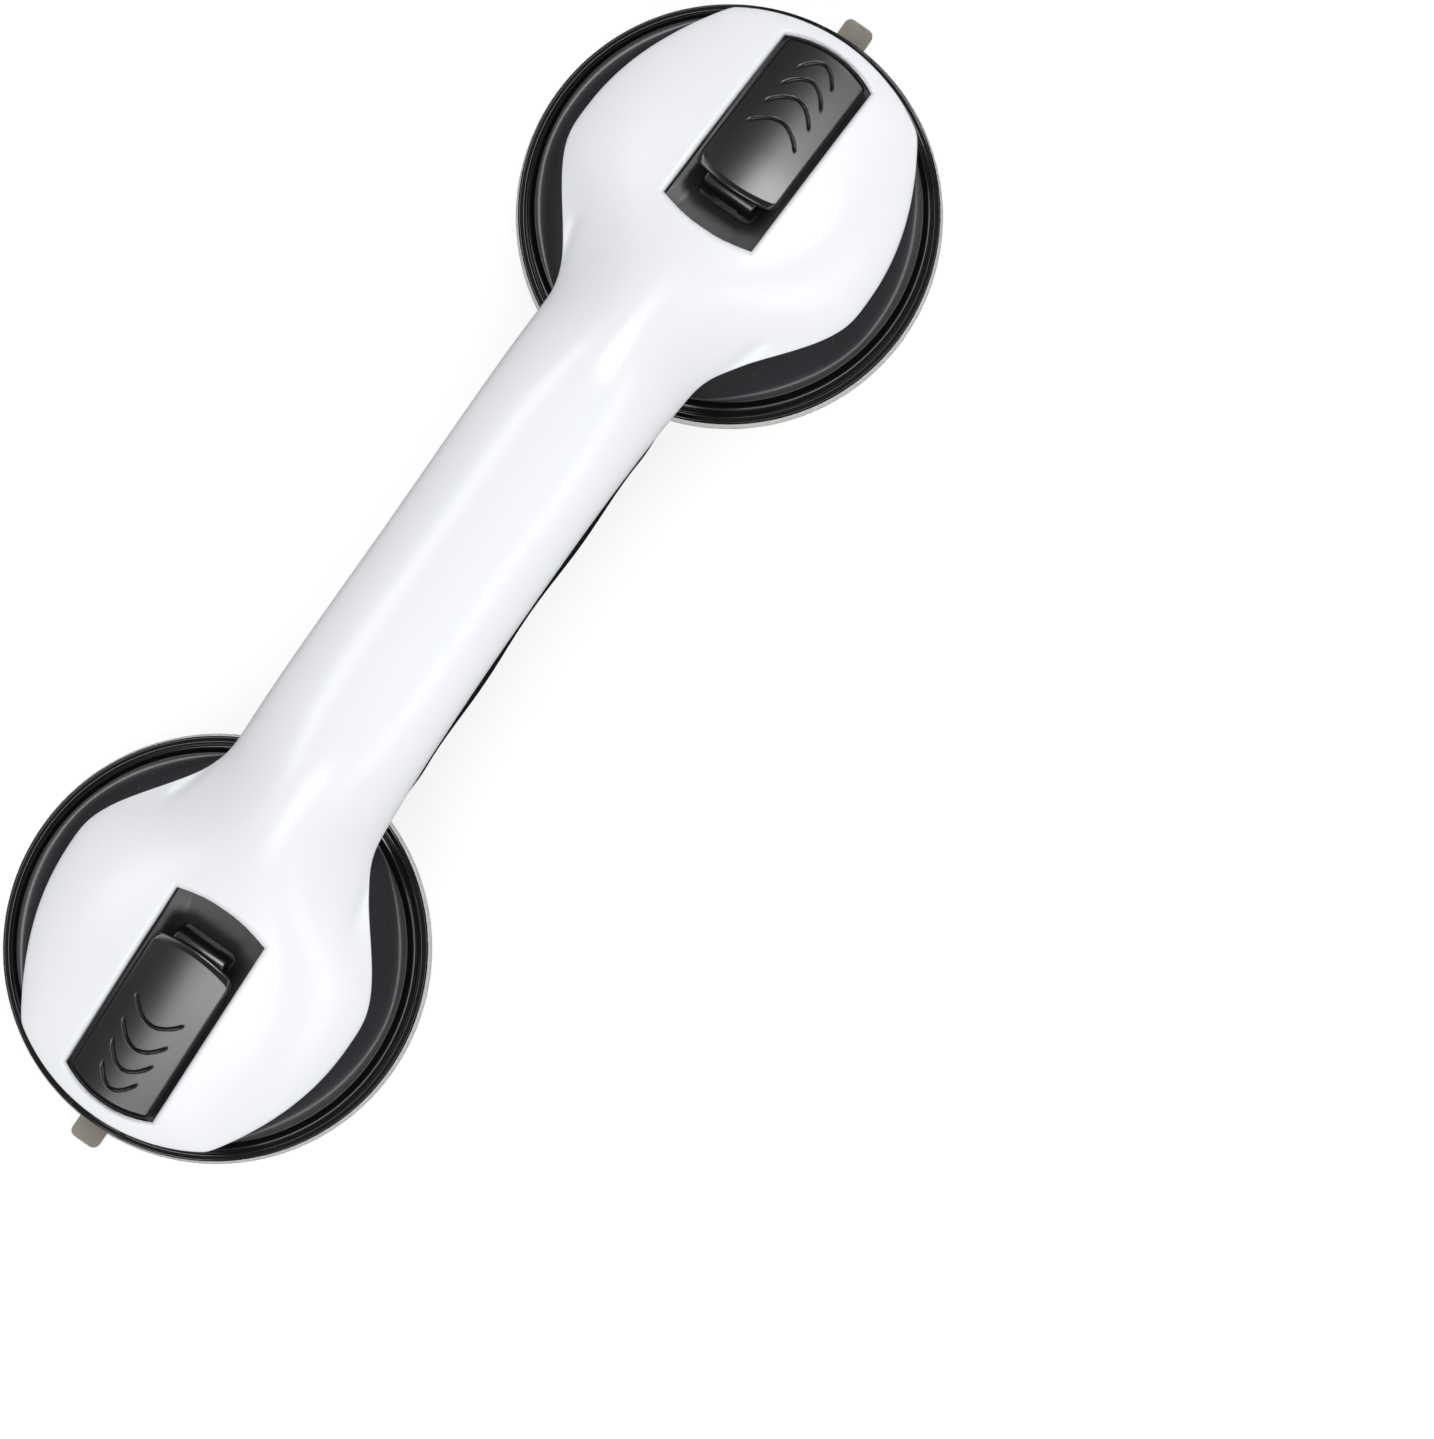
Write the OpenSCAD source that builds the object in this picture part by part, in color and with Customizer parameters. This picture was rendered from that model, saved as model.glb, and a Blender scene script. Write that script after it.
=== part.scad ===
// Suction grab bar: a two-piece handle on two lever-operated suction cups.
// Millimetres, +Z away from the wall, +X along the bar, origin on the wall plane midway between the cups.
// Every cup station is drawn for the +X end in its own frame (X outwards from the cup axis) and mirrored.

/* [Bar] */
// Distance between the two cup axes
cup_spacing = 206.4; // [204:0.2:212]
// Half width of the handle at mid length
handle_half = 18.5; // [18:0.1:19]
// Half width of the neck where the handle starts to flare
neck_half = 19.5; // [19:0.1:20]
// Wall thickness of the moulded shells
wall = 2.4; // [2.2:0.1:2.6]
// Height of the underside of the grip at mid length
grip_bottom = 36.2; // [35:0.1:38]

/* [Cap over each cup] */
// Radius of the outer nose of the cap, about the cup axis
cap_r = 46.5; // [46.2:0.1:46.8]
// Half width of the cap at the cup axis
cap_half = 39.1; // [38.6:0.1:39.6]
// Length over which the neck flares into the cap
flare_len = 38; // [35:1:41]

/* [Base housing] */
// Radius of the flange that presses on the cup's rim
flange_r = 48.8; // [48.6:0.1:49.2]
// Height of the flange's underside above the wall
flange_z = 3; // [3:0.1:3.2]
// Radius of the shoulder where the steep wall ends and the dome starts
shoulder_r = 44.6; // [44.4:0.1:44.8]
// Height of the shoulder
shoulder_z = 12.6; // [12.4:0.1:12.7]
// Thickness of the dome
dome_wall = 2.2; // [2:0.1:2.4]

/* [Suction cup] */
// Radius of the rubber cup
cup_r = 49.5; // [49.4:0.1:50.4]
// Height to which the lever pulls the middle of the cup
cup_lift = 3.5; // [3.4:0.1:3.6]
// Reach of the pull tab from the cup axis
tab_reach = 53.9; // [53:0.1:56]
// Width of the pull tab
tab_w = 7.4; // [6:0.1:8]

/* [Lever] */
// Distance of the hinge pin outwards from the cup axis
pin_x = 2.4; // [2.3:0.1:2.5]
// Height of the hinge pin with the lever locked
pin_z = 29.4; // [29.3:0.1:29.5]
// Radius of the hinge pin
pin_r = 1.6; // [1.5:0.1:1.7]
// Half width of the lever
lever_half = 10.8; // [10.6:0.1:11]
// Reach of the lever's outer end from the cup axis
lever_reach = 42.3; // [42.1:0.1:42.4]
// Thickness of the lever's plate
lever_t = 3.2; // [3:0.1:3.4]
// Height of the cam under the pin with the lever locked
cam_locked = 8.5; // [8.4:0.1:8.5]
// Stem travel between locked and released
stem_travel = 3.3; // [3.2:0.1:3.3]
// Lever swing between locked and released, in degrees
lever_swing = 65; // [62:1:65]

/* [Hidden] */
$fn = 64;

cup_x = cup_spacing / 2;
right = 1;
left = -1;

// Profiles along the bar, as [distance from mid length, value]
crest_line = [[0, 64.5], [25, 63.9], [50, 60.6], [75, 49.9], [95, 38.5], [115, 30.2], [135, 21.6], [150, 15]];
edge_line = [
    [0, 50], [25, 49.4], [45, 45.6], [62, 37.4], [76, 30.6],
    [90, 25.8], [103, 22.2], [120, 17.8], [135, 14.4], [150, 13.2]
];
// Roundness of the cross-section: 1 is half an ellipse, 3 is a bell with concave feet
bell_line = [[0, 1], [45, 1], [62, 1.4], [78, 2.6], [90, 1.7], [101, 1.2], [125, 1.1], [150, 1.05]];
belly_line = [[0, grip_bottom], [45, grip_bottom], [53, grip_bottom - 0.7], [60, 32.6], [68, 27.5]];

// Faceting of the lofted shells
loft_step = 5.1;
nose_steps = 13;
across_steps = 22;

// Cap outline outwards of the cup axis: half width falls with the square of the distance
cap_taper = 0.0088;
flare_end = -4.5;

// Lever recess
recess_half = lever_half + 1.2;
recess_in = -10;
recess_in_r = 37;
lever_nose_r = 24.6;
nose_gap = 0.6;
floor_at_slot = 26.8;
floor_slope = 0.307;
tray_wall = 1.4;

// Cam slot through the recess floor, in which the lever's heel and cam turn
slot_in = pin_x - 4.8;
slot_out = pin_x + 9.9;
slot_half = 7.4;
slot_corner = 1.8;
well_wall = 3;

// Heights of the load-bearing stack under the cam
plate_top = pin_z - cam_locked - 0.08;
plate_t = 1.2;
deck_top = plate_top - plate_t;
deck_t = 2.5;
deck_z = deck_top - deck_t;

// Lever: round heel and cam, plate with a bowed inner edge that is rolled over
cam_rate = stem_travel / (lever_swing * PI / 180);
cam_half = slot_half - 0.6;
heel_r = 4.1;
lever_in = 0.9;
lever_bow_r = 40;
lever_rise = 0.7;
edge_roll = 1.4;
end_thinning = 0.9;

// Stem
disc_r = 13;
disc_z = 5;
disc_t = 2;
shaft_r = 5.5;
neck_x_half = 2.3;
neck_y_half = 3.3;
eye_r = 3.1;
slide_gap = 0.25;
pin_play = 0.05;
cup_boss_r = 14.6;
cup_boss_top = 8.6;
washer_t = 0.6;
neck_z = cup_boss_top + washer_t + 0.4;

// Return spring
spring_r = 8;
spring_wire = 0.6;
spring_turns = 4.5;
spring_steps = 72;

// Screws
screw_r = 1.5;
screw_hole_r = 1.7;
head_r = 2.8;
head_t = 1.7;
housing_screw_len = 9.8;
seat_depth = 5.5;
screw_spots = [[-14, 20], [-14, -20], [20, 19], [20, -19]];
grip_screw_x = [-50, -20, 20, 50];
grip_screw_len = 13;
counterbore = 1.7;

shell_white = [0.94, 0.95, 0.96];
plastic_black = [0.05, 0.05, 0.06];
rubber_clear = [0.80, 0.81, 0.80, 0.8];
steel = [0.75, 0.76, 0.78];

// ---------------------------------------------------------------- profiles

function slope_at(line, i) =
    i == 0 ? 0
    : i == len(line) - 1 ? (line[i][1] - line[i - 1][1]) / (line[i][0] - line[i - 1][0])
    : (line[i + 1][1] - line[i - 1][1]) / (line[i + 1][0] - line[i - 1][0]);

function span_of(line, x, i = 0) = i >= len(line) - 2 || x < line[i + 1][0] ? i : span_of(line, x, i + 1);

// Smooth curve through the points of a profile
function along(line, x) =
    let (
        i = span_of(line, x),
        h = line[i + 1][0] - line[i][0],
        t = (x - line[i][0]) / h
    )
    line[i][1] * (1 - t) * (1 - t) * (1 + 2 * t) + slope_at(line, i) * h * t * (1 - t) * (1 - t)
    + line[i + 1][1] * t * t * (3 - 2 * t) + slope_at(line, i + 1) * h * t * t * (t - 1);

function ease(t) = t <= 0 ? 0 : t >= 1 ? 1 : t * t * (3 - 2 * t);

// Half width of the white outline at x, moved inwards by inset
function half_width(x, inset) =
    let (d = abs(x) - cup_x, neck = cup_x - flare_len + flare_end)
    d < flare_end
        ? handle_half + (neck_half - handle_half) * pow(min(abs(x) / neck, 1), 2)
          + (cap_half - neck_half) * ease((d - flare_end + flare_len) / flare_len) - inset
        : min(
            cap_half - inset - cap_taper * max(d, 0) * max(d, 0),
            sqrt(max((cap_r - inset) * (cap_r - inset) - d * d, 0.01))
        );

function edge_z(x) = along(edge_line, abs(x));

// Height of the crest over the edge, rounded off at the nose
function crest_rise(x, inset) =
    let (d = max(abs(x) - cup_x, 0) / (cap_r - inset))
    (along(crest_line, abs(x)) - edge_z(x) - 1.05 * inset) * sqrt(max(1 - pow(d, 12), 0.0001));

// Height of the outer surface at x and y, moved inwards by inset
function skin_z(x, y, inset) =
    let (v = min(abs(y) / half_width(x, inset), 1))
    edge_z(x) + crest_rise(x, inset) * pow(1 - v * v, along(bell_line, abs(x)) / 2);

// ---------------------------------------------------------------- lofts

// Stations along half of the bar for an outline moved inwards by inset
function half_stations(inset) = concat(
    [for (i = [0 : floor(cup_x / loft_step) - 1]) i * cup_x / floor(cup_x / loft_step)],
    [for (i = [0 : nose_steps]) cup_x + (cap_r - inset) * sin(88 * i / nose_steps)]
);

function both_ways(list) = concat([for (i = [len(list) - 1 : -1 : 1]) -list[i]], list);

function angles() = [for (j = [0 : across_steps]) -90 + 180 * j / across_steps];

function upper_section(x, inset) = [
    for (a = angles())
        [x, half_width(x, inset) * sin(a), edge_z(x) + crest_rise(x, inset) * pow(cos(a), along(bell_line, abs(x)))]
];

// Side of the grip bulges a little at two finger swells
function swell(x) = 1.25 + 0.45 * cos(180 * (abs(x) - 19) / 19) - 1.6 * ease((abs(x) - 30) / 18);

function lower_section(x, inset, seam) = [
    for (a = angles())
        let (
            side = a < 0 ? -1 : 1,
            depth = edge_z(x) - seam - along(belly_line, abs(x)) - 0.35 * (1 + cos(180 * (abs(x) - 19) / 19)) - inset
        )
        [
            x,
            side * ((half_width(x, 0) - 0.3 - inset) * pow(sin(abs(a)), 0.55) + swell(x) * sin(2 * abs(a))),
            edge_z(x) - seam - depth * pow(max(cos(a), 0), 0.9)
        ]
];

function grid_faces(rows, cols, start, flip) = [
    for (i = [0 : rows - 2], j = [0 : cols - 2])
        let (a = start + i * cols + j, b = a + 1, c = a + cols + 1, d = a + cols)
        for (f = flip ? [[a, c, b], [a, d, c]] : [[a, b, c], [a, c, d]]) f
];

function strip_faces(a_start, b_start, count, step, flip) = [
    for (i = [0 : count - 2])
        let (a = a_start + i * step, b = a + step, c = b_start + (i + 1) * step, d = b_start + i * step)
        for (f = flip ? [[a, c, b], [a, d, c]] : [[a, b, c], [a, c, d]]) f
];

// Closed shell between two stacks of open sections with equal counts
module loft_shell(outer, inner, flip) {
    rows = len(outer);
    cols = len(outer[0]);
    all = concat([for (s = outer, p = s) p], [for (s = inner, p = s) p]);
    second = rows * cols;
    polyhedron(
        points = all,
        faces = concat(
            grid_faces(rows, cols, 0, !flip),
            grid_faces(rows, cols, second, flip),
            strip_faces(0, second, rows, cols, flip),
            strip_faces(cols - 1, second + cols - 1, rows, cols, !flip),
            strip_faces(0, second, cols, 1, !flip),
            strip_faces(second - cols, 2 * second - cols, cols, 1, flip)
        )
    );
}

// Solid under a stack of open sections, closed flat across each section's ends
module loft_core(sections) {
    rows = len(sections);
    cols = len(sections[0]);
    all = [for (s = sections, p = s) p];
    polyhedron(
        points = all,
        faces = concat(
            grid_faces(rows, cols, 0, true),
            strip_faces(0, cols - 1, rows, cols, false),
            [[for (j = [0 : cols - 1]) j]],
            [[for (j = [cols - 1 : -1 : 0]) (rows - 1) * cols + j]]
        )
    );
}

// ---------------------------------------------------------------- cup station helpers

module at_cup(side) {
    if (side > 0)
        translate([cup_x, 0, 0]) children();
    else
        mirror([1, 0, 0]) translate([cup_x, 0, 0]) children();
}

// Prism along Y from an outline given as [x, z] points
module side_prism(half) {
    translate([0, half, 0]) rotate([90, 0, 0]) linear_extrude(2 * half) children();
}

// Plan outline of the lever recess, grown by extra
module recess_outline(extra) {
    half = recess_half + extra;
    middle = lever_reach - lever_nose_r;
    intersection() {
        translate([recess_in - extra, -half]) square([middle - recess_in + extra, 2 * half]);
        translate([recess_in + recess_in_r, 0]) circle(recess_in_r + extra, $fn = 120);
    }
    intersection() {
        translate([middle - 0.5, -half]) square([40, 2 * half]);
        translate([middle, 0]) circle(lever_nose_r + nose_gap + extra, $fn = 120);
    }
}

// Plan outline of the cam slot, moved inwards by inset
module slot_outline(inset) {
    corner = slot_corner - inset;
    offset(r = corner)
        translate([slot_in + slot_corner, slot_corner - slot_half])
            square([slot_out - slot_in - 2 * slot_corner, 2 * (slot_half - slot_corner)]);
}

function floor_z(d) = floor_at_slot - floor_slope * (d - slot_in);

// ---------------------------------------------------------------- handle

module handle_shell() {
    post_top = 60;
    post_end = grip_bottom + wall + 1;
    color(shell_white)
    difference() {
        union() {
            loft_shell(
                [for (x = both_ways(half_stations(0))) upper_section(x, 0)],
                [for (x = both_ways(half_stations(wall))) upper_section(x, wall)],
                false
            );
            intersection() {
                loft_core([for (x = both_ways(half_stations(wall / 2))) upper_section(x, wall / 2)]);
                union() {
                    for (side = [left, right])
                        at_cup(side)
                            for (p = screw_spots)
                                hull() {
                                    translate([p[0], p[1], roof_z(p[0]) + 1.6]) cylinder(r = 3.2, h = 1, $fn = 24);
                                    translate([p[0], p[1], roof_z(p[0]) + 20]) cylinder(r = 4, h = 1, $fn = 24);
                                }
                    for (x = grip_screw_x)
                        hull() {
                            translate([x, 0, post_top - 8]) cylinder(r = 3.6, h = 1, $fn = 24);
                            translate([x, 0, post_top + 4]) cylinder(r = 4.6, h = 1, $fn = 24);
                        }
                }
            }
            for (x = grip_screw_x)
                translate([x, 0, post_end]) cylinder(r = 3.6, h = post_top - 7.5 - post_end, $fn = 24);
        }
        for (side = [left, right])
            at_cup(side) {
                linear_extrude(100) recess_outline(0);
                for (p = screw_spots)
                    translate([p[0], p[1], seat_z(p[0])])
                        cylinder(r = screw_hole_r, h = housing_screw_len + 0.4, $fn = 24);
            }
        for (x = grip_screw_x)
            translate([x, 0, grip_bottom]) cylinder(r = screw_hole_r, h = grip_screw_len + 2, $fn = 24);
    }
}

module handle_grip() {
    seam = 0.12;
    reach = 66;
    stations = both_ways([for (i = [0 : 22]) reach * i / 22]);
    color(plastic_black)
    difference() {
        loft_shell(
            [for (x = stations) lower_section(x, 0, seam)],
            [for (x = stations) lower_section(x, wall, seam)],
            true
        );
        for (side = [left, right])
            at_cup(side) dome_solid(-0.3);
        for (x = grip_screw_x)
            translate([x, 0, grip_bottom - 5]) {
                cylinder(r = screw_hole_r, h = 20, $fn = 24);
                cylinder(r = head_r + 0.3, h = 5 + counterbore, $fn = 32);
            }
    }
}

module grip_screws() {
    color(steel)
    for (x = grip_screw_x)
        translate([x, 0, grip_bottom + counterbore]) {
            translate([0, 0, -head_t]) screw_head();
            translate([0, 0, -0.1]) cylinder(r = screw_r, h = grip_screw_len);
        }
}

// Pan head with a cross recess, seat on top
module screw_head() {
    difference() {
        cylinder(r1 = head_r - 0.5, r2 = head_r, h = head_t);
        translate([-1.6, -0.35, -0.1]) cube([3.2, 0.7, 1]);
        translate([-0.35, -1.6, -0.1]) cube([0.7, 3.2, 1]);
    }
}

// ---------------------------------------------------------------- base housing

function roof_z(d) = edge_z(cup_x + d) - 0.6;
function seat_z(d) = roof_z(d) - seat_depth;

// Roof outline: under the cap's edge outwards, a circle under the neck
function roof_point(a, inset) =
    let (
        in_r = 36,
        reach = [for (r = [in_r : 0.25 : cap_r - 1.9])
            if (abs(r * sin(a)) <= half_width(cup_x + r * cos(a), 1.2)) r],
        r = (len(reach) == 0 ? in_r : max(in_r - 0.2, reach[len(reach) - 1])) - inset
    )
    [r * cos(a), r * sin(a)];

// Rings of the dome, from the shoulder up to the roof's rim and in to its middle
function dome_rings(inset) = [
    for (level = [0 : 6]) [
        for (a = [0 : 7.5 : 352.5])
            let (
                rim = roof_point(a, inset),
                rim_z = roof_z(rim[0]) - inset,
                base_r = shoulder_r - 0.4 - inset,
                base_z = shoulder_z - 0.3 - inset,
                t = max(level - 1, 0) / 3,
                swell_out = 0.9 * sin(180 * min(t, 1)) * ease((rim_z - base_z) / 12),
                r0 = norm(rim),
                s = level > 4 ? (level == 5 ? 0.6 : 0.2) : 1
            )
            level == 0 ? [base_r * cos(a), base_r * sin(a), base_z - 1.4]
            : level <= 4
                ? let (r = base_r + (r0 - base_r) * t + swell_out)
                  [r * cos(a), r * sin(a), base_z + (rim_z - base_z) * t]
            : [rim[0] * s, rim[1] * s, roof_z(rim[0] * s) - inset]
    ]
];

// Solid dome moved inwards by inset (outwards when negative)
module dome_solid(inset) {
    rings = dome_rings(inset);
    cols = len(rings[0]);
    rows = len(rings);
    polyhedron(
        points = [for (ring = rings, p = ring) p],
        faces = concat(
            [
                for (i = [0 : rows - 2], j = [0 : cols - 1])
                    let (a = i * cols + j, b = i * cols + (j + 1) % cols, c = b + cols, d = a + cols)
                    for (f = [[a, c, b], [a, d, c]]) f
            ],
            [[for (j = [0 : cols - 1]) j]],
            [[for (j = [cols - 1 : -1 : 0]) (rows - 1) * cols + j]]
        )
    );
}

module flange_and_wall() {
    rotate_extrude()
        polygon([
            [43.4, flange_z], [flange_r - 0.2, flange_z], [flange_r, flange_z + 0.4], [flange_r, flange_z + 1.5],
            [flange_r - 0.5, flange_z + 2], [flange_r - 1.2, flange_z + 2.2], [flange_r - 1.7, flange_z + 1.9],
            [46.2, 9.2], [46.4, 9.5], [45.9, 9.8], [shoulder_r, shoulder_z], [shoulder_r - 2.2, shoulder_z],
            [shoulder_r - 2.2, shoulder_z - 1.2], [43.4, flange_z + 3]
        ]);
}

module base_housing(side) {
    inner = recess_in - 2;
    outer = lever_reach - 0.4;
    spans = [for (i = [0 : 10]) inner + (outer - inner) * i / 10];
    tray_half = recess_half + 0.2 + tray_wall;
    color(plastic_black)
    at_cup(side)
    difference() {
        union() {
            flange_and_wall();
            difference() {
                dome_solid(0);
                translate([0, 0, -0.3]) dome_solid(dome_wall);
            }
            // block that forms the floor and walls of the lever recess
            side_prism(tray_half)
                polygon(concat(
                    [for (d = spans) [d, skin_z(cup_x + d, tray_half, wall) - 0.7]],
                    [for (i = [10 : -1 : 0]) [spans[i], roof_z(spans[i]) - 1.1]]
                ));
            // well around the cam, with the deck that carries the wear plate
            side_prism(tray_half)
                polygon([
                    [slot_in - well_wall, deck_z], [slot_out + well_wall, deck_z],
                    [slot_out + well_wall, floor_z(slot_out + well_wall) - 1],
                    [slot_in - well_wall, floor_z(slot_in - well_wall) - 1]
                ]);
            for (p = screw_spots)
                translate([p[0], p[1], seat_z(p[0])]) cylinder(r = 3.8, h = seat_depth - 0.9);
        }
        // recess above the sloping floor
        intersection() {
            linear_extrude(60) recess_outline(0.2);
            side_prism(20)
                polygon([[-30, floor_z(-30)], [60, floor_z(60)], [60, 60], [-30, 60]]);
        }
        translate([0, 0, deck_top]) linear_extrude(40) slot_outline(0);
        translate([pin_x - neck_x_half - slide_gap, -neck_y_half - slide_gap, deck_z - 1])
            cube([2 * (neck_x_half + slide_gap), 2 * (neck_y_half + slide_gap), 10]);
        for (p = screw_spots)
            translate([p[0], p[1], 0]) cylinder(r = screw_hole_r, h = 60);
    }
}

module housing_screws(side) {
    color(steel)
    at_cup(side)
    for (p = screw_spots)
        translate([p[0], p[1], seat_z(p[0])]) {
            translate([0, 0, -head_t]) screw_head();
            translate([0, 0, -0.1]) cylinder(r = screw_r, h = housing_screw_len);
        }
}

module wear_plate(side) {
    gap = 0.2;
    color(steel)
    at_cup(side)
    difference() {
        translate([0, 0, deck_top]) linear_extrude(plate_t) slot_outline(gap);
        translate([pin_x - neck_x_half - slide_gap, -neck_y_half - slide_gap, deck_top - 1])
            cube([2 * (neck_x_half + slide_gap), 2 * (neck_y_half + slide_gap), 10]);
    }
}

// ---------------------------------------------------------------- suction cup and stem

function tab_outline() =
    let (r = 1.6, x = tab_reach - r, y = tab_w / 2 - r)
    concat(
        [[46.5, -tab_w / 2]],
        [for (a = [-90 : 15 : 0]) [x + r * cos(a), -y + r * sin(a)]],
        [for (a = [0 : 15 : 90]) [x + r * cos(a), y + r * sin(a)]],
        [[46.5, tab_w / 2]]
    );

module suction_cup(side) {
    color(rubber_clear)
    at_cup(side)
    union() {
        rotate_extrude()
            polygon([
                [0, cup_lift], [16, cup_lift], [24, 2.2], [31, 0.6], [36, 0], [cup_r - 0.4, 0], [cup_r, 0.5],
                [cup_r - 0.2, 1.4], [flange_r - 0.1, flange_z - 0.1], [43, flange_z - 0.1], [35, 3.4], [27, 5],
                [19, 7.2], [cup_boss_r, cup_boss_top], [shaft_r, cup_boss_top], [shaft_r, disc_z + disc_t],
                [disc_r, disc_z + disc_t], [disc_r, disc_z], [0, disc_z]
            ]);
        translate([0, 0, 0.7]) linear_extrude(1.8) polygon(tab_outline());
    }
}

module cup_stem(side) {
    color(plastic_black)
    at_cup(side)
    difference() {
        union() {
            translate([0, 0, disc_z]) cylinder(r = disc_r, h = disc_t);
            translate([0, 0, disc_z + 1]) cylinder(r = shaft_r, h = deck_z - 0.4 - disc_z - 1);
            translate([pin_x - neck_x_half, -neck_y_half, neck_z])
                cube([2 * neck_x_half, 2 * neck_y_half, pin_z - neck_z]);
            translate([pin_x, neck_y_half, pin_z]) rotate([90, 0, 0]) cylinder(r = eye_r, h = 2 * neck_y_half);
        }
        translate([pin_x, 10, pin_z]) rotate([90, 0, 0]) cylinder(r = pin_r + pin_play, h = 20);
    }
}

module stem_washer(side) {
    color(steel)
    at_cup(side)
    translate([0, 0, cup_boss_top])
    difference() {
        cylinder(r = spring_r + 2, h = washer_t);
        translate([0, 0, -1]) cylinder(r = shaft_r + 0.2, h = 3);
    }
}

function spring_point(i, j) =
    let (
        sides = 6,
        low = cup_boss_top + washer_t + spring_wire + 0.05,
        high = deck_z - spring_wire - 0.05,
        turn = 360 * spring_turns * i / spring_steps,
        r = spring_r + spring_wire * cos(360 * j / sides)
    )
    [r * cos(turn), r * sin(turn), low + (high - low) * i / spring_steps + spring_wire * sin(360 * j / sides)];

module return_spring(side) {
    sides = 6;
    color(steel)
    at_cup(side)
    polyhedron(
        points = [for (i = [0 : spring_steps], j = [0 : sides - 1]) spring_point(i, j)],
        faces = concat(
            [
                for (i = [0 : spring_steps - 1], j = [0 : sides - 1])
                    let (a = i * sides + j, b = i * sides + (j + 1) % sides, c = b + sides, d = a + sides)
                    for (f = [[a, b, c], [a, c, d]]) f
            ],
            [[for (j = [sides - 1 : -1 : 0]) j]],
            [[for (j = [0 : sides - 1]) spring_steps * sides + j]]
        )
    );
}

// ---------------------------------------------------------------- lever

// Involute flank: the cam's height over the plate falls at an even rate as the lever lifts
function cam_point(lift) =
    let (h = cam_locked - cam_rate * lift * PI / 180, a = -90 - lift)
    [h * cos(a) - cam_rate * sin(a), h * sin(a) + cam_rate * cos(a)];

module cam_outline() {
    union() {
        circle(heel_r);
        polygon(concat(
            [[heel_r - 0.5, 1.5], [0, 2]],
            [for (lift = [lever_swing + 5 : -5 : 0]) cam_point(lift)]
        ));
    }
}

// Room for the stem's neck over the whole swing
module neck_sweep() {
    circle(eye_r + 0.3);
    for (lift = [0 : lever_swing / 5 : lever_swing])
        rotate(-lift)
            translate([-neck_x_half - 0.3, -14]) square([2 * neck_x_half + 0.6, 14]);
}

function lever_top(d) = along(crest_line, cup_x + d) + lever_rise;

module lever(side) {
    start = lever_in + 1.5 * edge_roll;
    ends = [for (i = [0 : 12]) start + (lever_reach - start) * i / 12];
    roll_z = lever_top(start) - 0.92 * edge_roll;
    color(plastic_black)
    at_cup(side)
    difference() {
        union() {
            // curved plate, bowed in plan at its inner edge and rounded off at the outer end
            intersection() {
                side_prism(lever_half)
                    polygon(concat(
                        [for (a = [0 : 22.5 : 67.5]) [lever_in + edge_roll * (1 - cos(a)), roll_z + edge_roll * sin(a)]],
                        [for (d = ends) [d, lever_top(d)]],
                        [for (i = [12 : -1 : 1]) [ends[i], lever_top(ends[i]) - lever_t]],
                        [[lever_in, lever_top(lever_in) - lever_t + end_thinning]]
                    ));
                translate([lever_reach - lever_nose_r, 0, 0]) cylinder(r = lever_nose_r, h = 80);
                translate([lever_in + lever_bow_r, 0, 0]) cylinder(r = lever_bow_r, h = 80, $fn = 180);
            }
            translate([pin_x, 0, pin_z]) side_prism(cam_half) cam_outline();
        }
        translate([pin_x, 0, pin_z]) side_prism(neck_y_half + 0.3) neck_sweep();
        translate([pin_x, 20, pin_z]) rotate([90, 0, 0]) cylinder(r = pin_r, h = 40);
    }
}

module hinge_pin(side) {
    color(steel)
    at_cup(side)
    translate([pin_x, 0, pin_z])
        side_prism(cam_half - 0.3)
            circle(pin_r);
}

// ---------------------------------------------------------------- assembly

handle_shell();
handle_grip();
grip_screws();
base_housing(left);  // base_housing_left
suction_cup(left);  // suction_cup_left
cup_stem(left);  // cup_stem_left
stem_washer(left);  // stem_washer_left
return_spring(left);  // return_spring_left
wear_plate(left);  // wear_plate_left
lever(left);  // lever_left
hinge_pin(left);  // hinge_pin_left
housing_screws(left);  // housing_screws_left
base_housing(right);  // base_housing_right
suction_cup(right);  // suction_cup_right
cup_stem(right);  // cup_stem_right
stem_washer(right);  // stem_washer_right
return_spring(right);  // return_spring_right
wear_plate(right);  // wear_plate_right
lever(right);  // lever_right
hinge_pin(right);  // hinge_pin_right
housing_screws(right);  // housing_screws_right
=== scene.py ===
import math

import bmesh
import bpy
import numpy as np
from mathutils import Matrix, Vector


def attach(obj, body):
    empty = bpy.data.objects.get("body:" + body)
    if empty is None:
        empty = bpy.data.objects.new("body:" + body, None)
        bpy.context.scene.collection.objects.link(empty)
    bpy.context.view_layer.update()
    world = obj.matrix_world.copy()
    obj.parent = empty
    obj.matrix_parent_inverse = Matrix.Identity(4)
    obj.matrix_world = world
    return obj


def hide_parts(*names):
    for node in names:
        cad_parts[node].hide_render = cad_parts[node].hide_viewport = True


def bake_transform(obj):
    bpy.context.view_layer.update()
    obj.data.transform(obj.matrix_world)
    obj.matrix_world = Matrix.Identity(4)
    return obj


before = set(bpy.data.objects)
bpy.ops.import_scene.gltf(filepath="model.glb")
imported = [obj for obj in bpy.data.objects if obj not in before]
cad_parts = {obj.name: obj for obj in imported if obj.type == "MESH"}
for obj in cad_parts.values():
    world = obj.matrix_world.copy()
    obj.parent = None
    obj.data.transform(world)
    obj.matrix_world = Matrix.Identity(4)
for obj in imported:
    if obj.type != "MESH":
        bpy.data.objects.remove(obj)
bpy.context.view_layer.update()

MM = 0.001

# ---------------------------------------------------------------- sizes shared with the CAD source, in mm

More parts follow.
